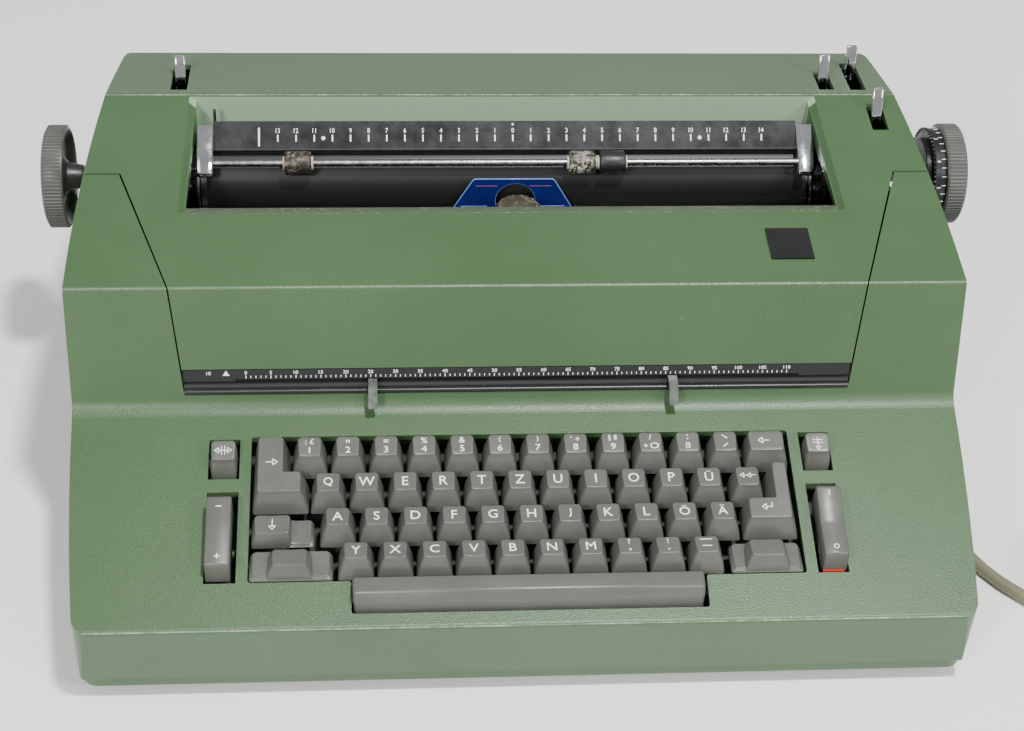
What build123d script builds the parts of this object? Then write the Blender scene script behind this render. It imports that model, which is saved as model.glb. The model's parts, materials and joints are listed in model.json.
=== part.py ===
from build123d import *
import math
import os

# Electric office typewriter with a single ball-shaped type element.
# Millimetres, +Z up, +X to the typist's right, +Y away from the typist.
# The origin is the middle of the footprint on the table.
# Depths are measured backwards from the front edge, heights upwards from the table.

os.makedirs("parts", exist_ok=True)

# Body shell, from the front edge backwards: deck, steep face, machine room, tail
neck_depth = 120.8
steep_reach = 20.2
machine_run = 135.0
tail_run = 55.5
body_width = 459.4
side_bow_radius = 1350.0
side_bow_depth = 165.0
wall = 3.0
foot_height = 9.0
pan_height = 5.6
pan_inset = 0.5
lip_lean = 3.5
lip_height = 51.0
neck_height = 87.2
cover_height = 149.0
ridge_height = 163.5
tail_height = 159.3
front_corner_radius = 9.0
rear_corner_radius = 11.0
foot_front = 42.0
foot_behind = 41.5
edge_radius = 2.5
neck_radius = 11.0

# Seam between housing and top cover
seam_low_half = 172.3
seam_crease_half = 178.3
seam_corner_half = 209.4
seam_corner_behind = 88.0
side_seam_height = 135.0
seam_gap = 0.8
seam_draft = 2.0
rear_step_ahead = 15.5

# Hinges of the top cover
hinge_inset = 2.3
hinge_height = 148.0
hinge_knuckle_radius = 2.0
hinge_pin_radius = 1.1
hinge_spread = 130.0
hinge_cover_gap = 2.3
hinge_middle_half = 8.0
hinge_half = 22.0
running_gap = 0.05
free_gap = 0.3

# Paper opening in the top cover
opening_half = 173.0
opening_ahead = 74.1
opening_behind = 20.5
opening_bevel = 3.5
ridge_behind = 1.5
flange_thick = 2.4
flange_base = 149.5
rear_wall_base = 138.0

# Keyboard well and side slots in the deck
well_half = 137.5
well_front = 24.5
well_back = 103.2
notch_half = 87.2
notch_front = 7.7
slot_centre = 151.0
slot_width = 15.6
long_slot_front = 24.4
long_slot_back = 72.8
short_slot_front = 80.0
short_slot_back = 102.0

# Key rows, from the number row forwards: front edge of each key top, and its rise above the deck
key_pitch = 19.05
row_depths = {"number": 85.4, "q": 66.3, "a": 47.3, "z": 28.4}
row_rises = {"number": 8.3083, "q": 8.132, "a": 9.2257, "z": 11.0894}
row_tilts = {"number": 16.0, "q": 9.0, "a": 3.0, "z": -3.0}
row_firsts = {"number": -107.0, "q": -98.5, "a": -93.7, "z": -84.2}
row_lasts = {"number": 102.5, "q": 92.0, "a": 96.8, "z": 87.2}
key_height = 12.5
key_base = 17.7
key_base_length = 18.0
key_top = 10.7
key_top_length = 11.6
key_top_spread = 0.6
key_front_run = 3.3
two_row_tilt = 17.0
two_row_rise = 3.0

# Keyboard frame and key stems
frame_drop = 16.5
frame_sheet = 2.5
frame_side = 164.0
stem_width = 2.4
stem_depth = 5.0
stem_overrun = 4.0
stem_clearance = 0.35

# Platen, its shaft, knobs and feed
platen_height = 124.0
platen_radius = 22.2
platen_end_gap = 3.5
platen_cover = 2.2
platen_band = 3.0
shaft_radius = 4.8
shaft_notch_radius = 10.0
knob_radius = 28.8
knob_rim = 12.0
knob_left_end = 256.0
knob_right_end = 260.6
knob_wall = 3.3
dial_radius = 26.4
dial_width = 6.6
dial_flange_radius = 21.0
ratchet_radius = 17.0
ratchet_gap = 3.1
ratchet_width = 3.5
feed_roll_radius = 6.0
feed_shaft_radius = 2.5
feed_bearings = {"front": -125.0, "rear": -75.0}
deflector_gap = 1.4
deflector_sheet = 1.0

# Paper bail
bail_pivot_ahead = 26.0
bail_pivot_height = 100.0
bail_rod_radius = 2.0
bail_roller_radius = 6.5
bail_bracket_sheet = 5.0
bail_plate_sheet = 1.2
bail_plate_length = 16.2
bail_bracket_width = 8.7
bail_end_gap = 1.8
bail_arm_sheet = 1.3

# Levers through the cover
lever_sheet = 2.2
lever_slot_gap = 1.1
lever_top_rise = 16.0
lever_pivot_height = 112.0
lever_stud_radius = 2.5
lever_arm_sheet = 3.0
lever_neck = 4.4
lever_strip_rise = 2.0

# Frame, carrier and drive
frame_gap = 10.0
frame_plate = 3.0
carrier_rest = 4.0
carrier_half = 25.5
print_shaft_ahead = 4.0
print_shaft_height = 84.0
print_shaft_radius = 5.0
ball_gap = 11.0
ball_height = 125.6
ball_radius = 16.8
ball_flat = 12.6
card_sheet = 1.0
card_half_low = 33.0
card_half_high = 22.6
card_arch_radius = 12.5
card_ahead = 23.5

# Margin scale, rail and stops on the front of the cover
scale_top = 107.0
scale_base = 101.5
rail_top = 98.4
rail_base = 95.3
scale_sheet = 1.5
stop_width = 4.6
left_stop = -76.0
right_stop = 79.0

# Derived places, as depths behind the front edge
cover_depth = neck_depth + steep_reach
platen_depth = cover_depth + machine_run
opening_front = platen_depth - opening_ahead
opening_back = platen_depth + opening_behind
ridge_depth = opening_back + ridge_behind
body_depth = ridge_depth + tail_run
seam_corner_depth = cover_depth + seam_corner_behind
rear_step_depth = body_depth - rear_step_ahead
ball_depth = platen_depth - platen_radius - ball_gap - ball_radius
print_shaft_depth = ball_depth - print_shaft_ahead
card_front = ball_depth + card_ahead
bail_pivot_depth = platen_depth - bail_pivot_ahead
y_front = -body_depth / 2

# Derived places across the width, as distances from the middle
inner_half = opening_half + flange_thick
platen_half = opening_half - platen_end_gap
bracket_outer = opening_half - bail_end_gap
bracket_inner = bracket_outer - bail_bracket_width
bail_arm_inner = bracket_outer - bail_arm_sheet
ratchet_inner = inner_half + ratchet_gap
ratchet_outer = ratchet_inner + ratchet_width
frame_half = ratchet_outer + frame_gap

# Slopes of the outline
shell_base = foot_height + pan_height
deck_slope = (neck_height - lip_height) / neck_depth
steep_slope = (cover_height - neck_height) / (cover_depth - neck_depth)
top_slope = (ridge_height - cover_height) / (ridge_depth - cover_depth)
tail_slope = (tail_height - ridge_height) / (body_depth - ridge_depth)


def y(depth):
    """Frame coordinate of a depth measured from the front edge."""
    return y_front + depth


def deck_z(depth):
    return lip_height + deck_slope * depth


def steep_depth(height):
    return neck_depth + (height - neck_height) / steep_slope


def top_z(depth):
    """Outer surface of the cover, in front of and behind the ridge."""
    if depth <= ridge_depth:
        return cover_height + top_slope * (depth - cover_depth)
    return ridge_height + tail_slope * (depth - ridge_depth)


def side_half(depth):
    """Half the body's width at a depth: the sides bow outwards on a large arc."""
    reach = depth - side_bow_depth
    return body_width / 2 - (side_bow_radius - math.sqrt(side_bow_radius**2 - reach**2))


def block(x0, x1, d0, d1, z0, z1):
    centre = ((x0 + x1) / 2, y((d0 + d1) / 2), (z0 + z1) / 2)
    return Pos(*centre) * Box(abs(x1 - x0), abs(d1 - d0), abs(z1 - z0))


def bar(radius, x0, x1, depth, height):
    """Round bar along X."""
    place = Pos((x0 + x1) / 2, y(depth), height) * Rot(0, 90, 0)
    return place * Cylinder(radius, abs(x1 - x0))


def side_shape(points, x0, x1, radius=0.0):
    """Outline of (depth, height) points, with one corner radius or a list, extruded from x0 to x1."""
    corners = [(x0, y(d), z) for d, z in points]
    if radius:
        line = FilletPolyline(*corners, radius=radius, close=True)
    else:
        line = Polyline(*corners, close=True)
    return extrude(make_face(line), amount=x1 - x0, dir=(1, 0, 0))


def plan_shape(points, z0, z1, radius=0.0):
    """Outline of (x, depth) points extruded from z0 to z1."""
    corners = [(x, y(d), z0) for x, d in points]
    if radius:
        line = FilletPolyline(*corners, radius=radius, close=True)
    else:
        line = Polyline(*corners, close=True)
    return extrude(make_face(line), amount=z1 - z0, dir=(0, 0, 1))


def front_shape(points, d0, d1):
    """Outline of (x, height) points extruded backwards from d0 to d1."""
    corners = [(x, y(d0), z) for x, z in points]
    return extrude(make_face(Polyline(*corners, close=True)), amount=d1 - d0, dir=(0, 1, 0))


def mirrored(shape):
    return mirror(shape, about=Plane.YZ)


def save(node, *solids):
    """Write one node, which may hold several separate solids."""
    pieces = []
    for shape in solids:
        pieces.extend(shape.solids())
    export_step(Compound(children=pieces), f"parts/{node}.step")


# The body: one side outline and one plan outline, crossed
def body_plan(inset, z0, z1):
    """Plan of the body with bowed sides, drawn in by inset and extruded."""
    front = inset
    back = body_depth - inset
    half_front = side_half(0) - inset
    half_wide = body_width / 2 - inset
    half_back = side_half(body_depth) - inset
    left = ThreePointArc(
        (-half_front, y(front), z0), (-half_wide, y(side_bow_depth), z0), (-half_back, y(back), z0)
    )
    right = ThreePointArc(
        (half_back, y(back), z0), (half_wide, y(side_bow_depth), z0), (half_front, y(front), z0)
    )
    rear = Line(left @ 1, right @ 0)
    nose = Line(right @ 1, left @ 0)
    face = make_face([left, rear, right, nose])
    corners = face.vertices().sort_by(Axis.Y)
    face = fillet(corners[:2], front_corner_radius - inset)
    face = fillet(face.vertices().sort_by(Axis.Y)[-2:], rear_corner_radius - inset)
    return extrude(face, amount=z1 - z0, dir=(0, 0, 1))


def body_side(inset):
    """Side outline of the body, drawn in by inset, across the whole width."""
    outline = [
        (lip_lean, shell_base),
        (0, lip_height),
        (neck_depth, neck_height),
        (cover_depth, cover_height),
        (ridge_depth, ridge_height),
        (body_depth, tail_height),
        (body_depth, shell_base),
    ]
    radii = [0, edge_radius, neck_radius, edge_radius, edge_radius, 2 * edge_radius, 0]
    corners = [(-body_width / 2 - wall, y(d), z) for d, z in outline]
    face = make_face(FilletPolyline(*corners, radius=radii, close=True))
    if inset:
        face = offset(face, amount=-inset, kind=Kind.INTERSECTION)
    return extrude(face, amount=body_width + 2 * wall, dir=(1, 0, 0))


body_outer = body_side(0) & body_plan(0, shell_base, ridge_height + wall)
body_hollow = body_side(wall) & body_plan(wall, shell_base, ridge_height + wall)
body_hollow += body_plan(wall + lip_lean, shell_base, shell_base + 2 * wall)
shell = body_outer - body_hollow


def seam_zone(gap, tongue_base):
    """Space that the top cover takes out of the shell, drawn in by gap at every seam."""
    tongue = [
        (seam_low_half - gap, neck_depth - 2 * wall),
        (seam_low_half - gap, steep_depth(rail_base)),
        (seam_crease_half - gap, cover_depth),
        (seam_corner_half - gap, seam_corner_depth + gap),
    ]
    back = [(seam_corner_half - gap, body_depth)]
    half = tongue + back
    outline = half + [(-x, d) for x, d in reversed(half)]
    zone = plan_shape(outline, tongue_base, ridge_height + wall)
    wide = body_width / 2 + wall
    draft = seam_draft if gap else 0
    hinge_edge = hinge_height + (hinge_cover_gap if gap else 0)
    sides = [
        (seam_corner_depth + gap / 2, ridge_height + wall),
        (seam_corner_depth + gap / 2 + draft, side_seam_height + gap / 2),
        (rear_step_depth - gap / 2, side_seam_height + gap / 2),
        (rear_step_depth - gap / 2, hinge_edge),
        (body_depth + wall, hinge_edge),
        (body_depth + wall, ridge_height + wall),
    ]
    flanks = side_shape(sides, -wide, wide)
    zone -= block(-wide, wide, seam_corner_depth + gap, body_depth + wall, 0, hinge_edge)
    return zone + flanks


housing = shell - seam_zone(0, rail_base)
cover = shell & seam_zone(seam_gap, scale_top)

# The platen shaft lies in a notch of each side wall, open upwards and shut by the cover's edge
shaft_notch = bar(shaft_notch_radius, -body_width, body_width, platen_depth, platen_height)
shaft_notch += block(-body_width, body_width, platen_depth - shaft_notch_radius,
                     platen_depth + shaft_notch_radius, platen_height, side_seam_height + 1)
housing -= shaft_notch

# Keyboard openings in the deck
well = [
    (-well_half, well_front),
    (-notch_half, well_front),
    (-notch_half, notch_front),
    (notch_half, notch_front),
    (notch_half, well_front),
    (well_half, well_front),
    (well_half, well_back),
    (-well_half, well_back),
]
deck_low = lip_height - 2 * wall
deck_high = neck_height + wall
housing -= plan_shape(well, deck_low, deck_high, 1.5)
for side in (-1, 1):
    left = side * slot_centre - slot_width / 2
    right = side * slot_centre + slot_width / 2
    housing -= block(left, right, long_slot_front, long_slot_back, deck_low, deck_high)
    housing -= block(left, right, short_slot_front, short_slot_back, deck_low, deck_high)

# Paper opening in the cover: bevelled front and side edges, flanges below, a rear wall
opening = block(-opening_half, opening_half, opening_front, opening_back, shell_base, ridge_height + wall)
bevel_front = opening_front - opening_bevel
bevel_depth = opening_bevel + 0.2
front_low = top_z(opening_front) - bevel_depth
front_high = top_z(bevel_front) + wall
front_bevel = side_shape(
    [(opening_front, front_low), (opening_front, front_high), (bevel_front - wall, front_high),
     (bevel_front, top_z(bevel_front))],
    -opening_half, opening_half,
)
side_profile = [
    (opening_half, -bevel_depth),
    (opening_half, wall),
    (opening_half + opening_bevel + wall, wall),
    (opening_half + opening_bevel, 0),
]
side_face = [(x, y(bevel_front), top_z(bevel_front) + z) for x, z in side_profile]
side_run = Vector(0, 1, top_slope)
side_bevel = extrude(
    make_face(Polyline(*side_face, close=True)),
    amount=(opening_back - bevel_front) * side_run.length,
    dir=side_run.normalized(),
)
cover -= opening
cover -= front_bevel
cover -= side_bevel
cover -= mirrored(side_bevel)

flange_front = opening_front - flange_thick
rear_wall_back = opening_back + wall
side_flange = side_shape(
    [
        (flange_front, top_z(flange_front) - wall + 0.2),
        (rear_wall_back, top_z(rear_wall_back) - wall + 0.2),
        (rear_wall_back, rear_wall_base),
        (opening_back - 4 * wall, rear_wall_base),
        (opening_back - 9 * wall, flange_base),
        (flange_front, flange_base),
    ],
    opening_half, opening_half + flange_thick,
)
front_flange_top = top_z(flange_front) - wall + 0.2
cover += side_flange + mirrored(side_flange)
cover += block(-inner_half, inner_half, flange_front, opening_front, flange_base - 4.0, front_flange_top)
rear_wall = block(-inner_half, inner_half, opening_back, rear_wall_back, rear_wall_base, ridge_height)
cover += rear_wall & body_outer

# Levers through the cover: x, width, crossing depth, lean, pivot ahead, slot ahead, slot behind
levers = {
    "copy_control": (-183.2, 7.2, ridge_depth + 21.0, 5.0, 7.0, 15.0, 15.5),
    "line_space": (185.5, 6.6, ridge_depth + 18.0, 5.0, 7.0, 12.0, 7.5),
    "paper_release": (203.6, 7.0, ridge_depth + 30.0, 3.0, 10.0, 24.3, 8.6),
    "bail": (209.2, 7.0, platen_depth + 3.0, 6.0, 0.0, 13.3, 7.5),
}
for x, width, cross, _, _, slot_ahead, slot_behind in levers.values():
    half = width / 2 + lever_slot_gap
    cover -= block(x - half, x + half, cross - slot_ahead, cross + slot_behind,
                   ridge_height - 5 * wall, ridge_height + wall)

# Hinges: three knuckles each on a plain pin
hinge_depth = body_depth - hinge_inset
pin_holes = []
hinge_pins = []
for side in (-1, 1):
    middle = side * hinge_spread
    inner0 = middle - hinge_middle_half
    inner1 = middle + hinge_middle_half
    outer0 = middle - hinge_half
    outer1 = middle + hinge_half
    clear0 = inner0 - free_gap
    clear1 = inner1 + free_gap
    housing += bar(hinge_knuckle_radius, outer0, clear0, hinge_depth, hinge_height)
    housing += bar(hinge_knuckle_radius, clear1, outer1, hinge_depth, hinge_height)
    notch_low = hinge_height - hinge_knuckle_radius - free_gap
    housing -= block(clear0, clear1, body_depth - 2 * wall, body_depth + wall, notch_low, ridge_height)
    housing -= bar(hinge_pin_radius, outer0, outer1, hinge_depth, hinge_height)
    web_top = hinge_height + hinge_cover_gap + 2 * running_gap
    web_half = hinge_pin_radius + 0.4
    cover += bar(hinge_knuckle_radius, inner0, inner1, hinge_depth, hinge_height)
    cover += block(inner0, inner1, hinge_depth - web_half, hinge_depth + web_half, hinge_height, web_top)
    cover -= bar(hinge_pin_radius + running_gap, inner0, inner1, hinge_depth, hinge_height)
    hinge_pins.append(bar(hinge_pin_radius, outer0, outer1, hinge_depth, hinge_height))

save("lower_housing", housing)
save("top_cover", cover)
save("hinge_pins", *hinge_pins)
print("housing", len(housing.solids()), housing.is_valid, "cover", len(cover.solids()), cover.is_valid)

# Bottom pan and feet
pan_plan = body_plan(pan_inset, foot_height, shell_base)
pan_outer = pan_plan & Pos(0, lip_lean, 0) * pan_plan
pan_floor = foot_height + 2.0
pan_plan = body_plan(pan_inset + wall, pan_floor, shell_base)
pan_inner = pan_plan & Pos(0, lip_lean, 0) * pan_plan
save("bottom_pan", pan_outer - pan_inner)

foot_radius = 10.0
foot_half = 180.0
feet = []
for foot_x in (-foot_half, foot_half):
    for foot_d in (foot_front, body_depth - foot_behind):
        centre = Pos(foot_x, y(foot_d), foot_height / 2)
        feet.append(centre * Cone(foot_radius, foot_radius + 2.0, foot_height))
save("rubber_feet", *feet)

# Name plate, bare, on the right of the cover
plate_front = cover_depth + 18.0
plate_back = plate_front + 23.4
plate_rise = 0.9
name_plate = side_shape(
    [(plate_front, top_z(plate_front)), (plate_front, top_z(plate_front) + plate_rise),
     (plate_back, top_z(plate_back) + plate_rise), (plate_back, top_z(plate_back))],
    130.5, 153.0,
)
save("name_plate", name_plate)


# Power frame: two side plates joined by strips on the pan, with lever studs
def plate_hole(radius, depth, height):
    return bar(radius, -body_width / 2, body_width / 2, depth, height)


front_rail = (ball_depth - 36.0, 62.0, 5.0)
rear_rail = (ball_depth + 20.0, 66.0, 4.0)
rack_bar = (cover_depth - 5.0, 90.0, 3.0)
plate_front_edge = rack_bar[0] - 7.0
plate_rear_edge = body_depth - 18.5
plate_foot = front_rail[0] - 14.0
plate_outline = [
    (plate_front_edge, 74), (plate_front_edge, 97), (cover_depth + 9, 104), (bail_pivot_depth, 112),
    (platen_depth - 14, 134), (platen_depth + 16, 134), (plate_rear_edge - 13, 118),
    (plate_rear_edge, 100), (plate_rear_edge, pan_floor), (plate_foot, pan_floor), (plate_foot, 60),
]
side_plate = side_shape(plate_outline, frame_half, frame_half + frame_plate)
power_frame = side_plate + mirrored(side_plate)
for strip in (plate_foot + 6.0, platen_depth):
    power_frame += block(-frame_half, frame_half, strip, strip + 14.0, pan_floor, pan_floor + 2.5)

drive_depth = platen_depth - 14.0
drive_height = 50.0
drive_radius = 6.0
bail_stub_radius = 4.0
power_frame -= plate_hole(shaft_radius + running_gap, platen_depth, platen_height)
power_frame -= plate_hole(print_shaft_radius + running_gap, print_shaft_depth, print_shaft_height)
power_frame -= plate_hole(drive_radius + running_gap, drive_depth, drive_height)
power_frame -= plate_hole(bail_stub_radius + running_gap, bail_pivot_depth, bail_pivot_height)
for depth, height, radius in (front_rail, rear_rail, rack_bar):
    power_frame -= plate_hole(radius, depth, height)
feed_reach = platen_radius + feed_roll_radius + free_gap
feed_places = {}
for name, bearing in feed_bearings.items():
    angle = math.radians(bearing)
    feed_places[name] = (
        platen_depth + feed_reach * math.cos(angle),
        platen_height + feed_reach * math.sin(angle),
    )
    power_frame -= plate_hole(feed_shaft_radius + running_gap, *feed_places[name])
stud_ends = {
    "copy_control": (-frame_half, levers["copy_control"][0] + 2.0),
    "line_space": (levers["line_space"][0] - 2.0, frame_half),
    "paper_release": (frame_half + frame_plate, levers["paper_release"][0] + 2.0),
}
lever_pivots = {"bail": (bail_pivot_depth, bail_pivot_height)}
for name, (start, end) in stud_ends.items():
    lever_pivots[name] = (levers[name][2] - levers[name][4], lever_pivot_height)
    power_frame += bar(lever_stud_radius, start, end, *lever_pivots[name])
save("power_frame", power_frame)

rails = []
for depth, height, radius in (front_rail, rear_rail, rack_bar):
    rails.append(bar(radius, -frame_half - frame_plate, frame_half + frame_plate, depth, height))
save("guide_rails", *rails)


# Levers
def cover_lever(name):
    """Flat strip above the cover, on a narrower neck through its slot and an arm with a boss round its pivot."""
    x, width, cross, lean = levers[name][:4]
    tip = cross + lean
    tip_z = top_z(cross) + lever_top_rise
    low = top_z(cross) - 4 * wall
    low_d = cross - lean / lever_top_rise * 4 * wall
    half = lever_sheet / 2
    foot_z = top_z(cross) + lever_strip_rise
    foot_d = cross + lean / lever_top_rise * lever_strip_rise
    strip = side_shape(
        [(foot_d - half, foot_z), (tip - half, tip_z), (tip + half, tip_z), (foot_d + half, foot_z)],
        x - width / 2, x + width / 2,
    )
    neck = side_shape(
        [(low_d - half, low), (foot_d - half, foot_z), (foot_d + half, foot_z), (low_d + half, low)],
        x - lever_neck / 2, x + lever_neck / 2,
    )
    pivot_d, pivot_z = lever_pivots[name]
    arm0, arm1 = x - lever_arm_sheet / 2, x + lever_arm_sheet / 2
    arm = side_shape(
        [(low_d - 3, low), (low_d - 3, low + 4), (low_d + 3, low + 4), (low_d + 3, low),
         (pivot_d + 4.5, pivot_z), (pivot_d - 4.5, pivot_z)],
        arm0, arm1,
    )
    boss = bar(5.0, arm0, arm1, pivot_d, pivot_z)
    return strip, neck + arm + boss


for name in stud_ends:
    stud_hole = plate_hole(lever_stud_radius + running_gap, *lever_pivots[name])
    strip, arm = cover_lever(name)
    save(name + "_lever", strip, arm - stud_hole)

# Platen, its shaft with the line ratchet, feed rollers and deflector
sleeve_half = platen_half - platen_band
platen_core = platen_radius - platen_cover
save("platen", bar(platen_radius, -sleeve_half, sleeve_half, platen_depth, platen_height)
     - bar(platen_core, -platen_half, platen_half, platen_depth, platen_height))
dial_end = knob_right_end - knob_rim - 0.4
dial_start = dial_end - dial_width
knob_left_inner = knob_left_end - knob_rim
shaft_left = -knob_left_end + knob_wall
shaft_right = knob_right_end - knob_wall
shaft = bar(shaft_radius, shaft_left, shaft_right, platen_depth, platen_height)
band_radius = platen_radius - 0.2
on_shaft = [
    (platen_core, -sleeve_half, sleeve_half),
    (band_radius, -platen_half, -sleeve_half),
    (band_radius, sleeve_half, platen_half),
    (ratchet_radius, ratchet_inner, ratchet_outer),
]
rings = [bar(radius, x0, x1, platen_depth, platen_height) - shaft for radius, x0, x1 in on_shaft]
save("platen_shaft", shaft, *rings)

left_knob = bar(knob_radius, -knob_left_end, -knob_left_inner, platen_depth, platen_height)
left_knob -= bar(
    knob_radius - knob_wall, -knob_left_end + knob_wall, -knob_left_inner, platen_depth, platen_height
)
hub_end = 236.0
hub_length = -shaft_left - hub_end
hub_place = Pos(shaft_left + hub_length / 2, y(platen_depth), platen_height) * Rot(0, 90, 0)
left_knob += hub_place * Cone(9.5, 6.5, hub_length)
left_knob -= bar(shaft_radius, shaft_left, 0, platen_depth, platen_height)
save("left_knob", left_knob)

right_knob = bar(knob_radius, knob_right_end - knob_rim, knob_right_end, platen_depth, platen_height)
right_knob -= bar(shaft_radius, 0, shaft_right, platen_depth, platen_height)
save("right_knob", right_knob)

line_dial = bar(dial_radius, dial_start, dial_end + 0.4, platen_depth, platen_height)
line_dial += bar(dial_flange_radius, dial_start - 3.2, dial_start, platen_depth, platen_height)
line_dial -= bar(shaft_radius, 0, shaft_right, platen_depth, platen_height)
save("line_dial", line_dial)

roller_spans = [(-148, -98), (-52, -4), (4, 52), (98, 148)]
for name, (depth, height) in feed_places.items():
    feed_shaft = bar(feed_shaft_radius, -frame_half - frame_plate, frame_half + frame_plate, depth, height)
    rolls = [bar(feed_roll_radius, x0, x1, depth, height) - feed_shaft for x0, x1 in roller_spans]
    save(name + "_feed_rollers", feed_shaft, *rolls)


def platen_arc(radius, bearing):
    angle = math.radians(bearing)
    return (
        -frame_half,
        y(platen_depth) + radius * math.cos(angle),
        platen_height + radius * math.sin(angle),
    )


deflector_in = platen_radius + deflector_gap
deflector_out = deflector_in + deflector_sheet
deflector_from, deflector_to = -58.0, 18.0
deflector_mid = (deflector_from + deflector_to) / 2
inner_arc = ThreePointArc(
    platen_arc(deflector_in, deflector_from),
    platen_arc(deflector_in, deflector_mid),
    platen_arc(deflector_in, deflector_to),
)
outer_arc = ThreePointArc(
    platen_arc(deflector_out, deflector_to),
    platen_arc(deflector_out, deflector_mid),
    platen_arc(deflector_out, deflector_from),
)
deflector_face = make_face([
    inner_arc, Line(inner_arc @ 1, outer_arc @ 0), outer_arc, Line(outer_arc @ 1, inner_arc @ 0)
])
save("paper_deflector", extrude(deflector_face, amount=2 * frame_half, dir=(1, 0, 0)))

# Paper bail: rod, rollers, line scale, brackets with arms, and its lever
rod_depth = platen_depth - 19.4
rod_height = 145.4
bracket_low = (platen_depth - 26.5, 143.3)
bracket_high = (platen_depth - 2.0, 158.9)
bracket_run = math.hypot(bracket_high[0] - bracket_low[0], bracket_high[1] - bracket_low[1])
fall_d = (bracket_high[1] - bracket_low[1]) / bracket_run * bail_bracket_sheet
fall_z = (bracket_high[0] - bracket_low[0]) / bracket_run * bail_bracket_sheet
save("bail_rod", bar(bail_rod_radius, -bracket_inner, bracket_inner, rod_depth, rod_height))

bail_rollers = []
for x0, x1 in ((-124.2, -107.6), (32.5, 49.1), (49.3, 65.9)):
    roller = bar(bail_roller_radius, x0, x1, rod_depth, rod_height)
    bail_rollers.append(roller - bar(bail_rod_radius + running_gap, x0, x1, rod_depth, rod_height))
save("bail_rollers", *bail_rollers)

scale_low = (platen_depth - 11.0, 148.3)
scale_high = (platen_depth, 160.2)
sheet_d = (scale_high[1] - scale_low[1]) / bail_plate_length * bail_plate_sheet
sheet_z = (scale_high[0] - scale_low[0]) / bail_plate_length * bail_plate_sheet
save("bail_scale", side_shape(
    [scale_low, scale_high, (scale_high[0] + sheet_d, scale_high[1] - sheet_z),
     (scale_low[0] + sheet_d, scale_low[1] - sheet_z)],
    -bracket_inner, bracket_inner,
))

# Each side: a chromed bracket, an upper and a lower link that pass in front of the card holder, boss and stub
bracket = side_shape(
    [bracket_low, bracket_high, (bracket_high[0] + fall_d, bracket_high[1] - fall_z),
     (bracket_low[0] + fall_d, bracket_low[1] - fall_z)],
    bracket_inner, bracket_outer,
)
boss_radius = 5.5
link_rear = card_front - 0.5
link_front = link_rear - 5.4
link_joint = 127.0
upper_link = side_shape(
    [(link_front, link_joint), (link_rear, link_joint), (rod_depth, 136), (rod_depth + 1.9, 145.8),
     (rod_depth - 4.1, 142)],
    bail_arm_inner, bracket_outer,
) - bracket
boss = bar(boss_radius, bail_arm_inner, bracket_outer, bail_pivot_depth, bail_pivot_height)
lower_link = side_shape(
    [(bail_pivot_depth - boss_radius, bail_pivot_height), (link_front, link_joint - 15),
     (link_front, link_joint), (link_rear, link_joint), (link_rear, bail_pivot_height)],
    bail_arm_inner, bracket_outer,
) - boss
stub_reach = levers["bail"][0] - lever_arm_sheet / 2
stub_right = bar(bail_stub_radius, bracket_outer, stub_reach, bail_pivot_depth, bail_pivot_height)
stub_end = frame_half + frame_plate + 1.0
stub_left = bar(bail_stub_radius, -stub_end, -bracket_outer, bail_pivot_depth, bail_pivot_height)
arm = [bracket, upper_link, lower_link, boss]
save("bail_arms", *arm, stub_right, *[mirrored(piece) for piece in arm], stub_left)
save("bail_lever", *cover_lever("bail"))

# Margin scale, rail and stops behind the seam at the foot of the cover
steep_run = math.hypot(1, steep_slope)


def steep_band(z0, z1, near, far, half):
    """Strip between two heights on the steep face, from near to far behind it, cut level."""
    def at(z, behind):
        return (steep_depth(z) + behind * steep_run / steep_slope, z)
    return side_shape([at(z0, near), at(z1, near), at(z1, far), at(z0, far)], -half, half)


scale_half = seam_low_half - free_gap
save("margin_scale", steep_band(scale_base, scale_top - 0.4, 0.2, wall, scale_half))
margin_rail = steep_band(rail_base + free_gap, rail_top, 0.8, wall + 0.1, scale_half)
margin_rail += steep_band(rail_base - 2, scale_top - 1.0, wall, wall + 2, scale_half + 10.0)
slot_reach = 146.0
margin_rail -= block(-slot_reach, slot_reach, neck_depth - 2, neck_depth + 6 * wall, rail_top, scale_base)
save("margin_rail", margin_rail)
rack_depth, rack_height, rack_radius = rack_bar


def margin_stop(x):
    """Pointer that runs in the slot under the scale and slides on the rack bar."""
    tongue_low = rail_top + free_gap
    tongue_high = scale_base - free_gap
    tongue = side_shape(
        [(rack_depth - 24, rail_base - 2.9), (rack_depth - 22.6, rail_base - 4.3),
         (rack_depth - 15.6, tongue_low - 0.2),
         (rack_depth - 4, tongue_low), (rack_depth - 4, tongue_high), (rack_depth - 17, tongue_high)],
        x - stop_width / 2, x + stop_width / 2,
    )
    slider = block(x - 5, x + 5, rack_depth - 4.2, rack_depth + 5, rack_height - 5, tongue_high)
    slider -= bar(rack_radius + running_gap, x - 6, x + 6, rack_depth, rack_height)
    return tongue + slider


save("left_margin_stop", margin_stop(left_stop))
save("right_margin_stop", margin_stop(right_stop))

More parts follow.
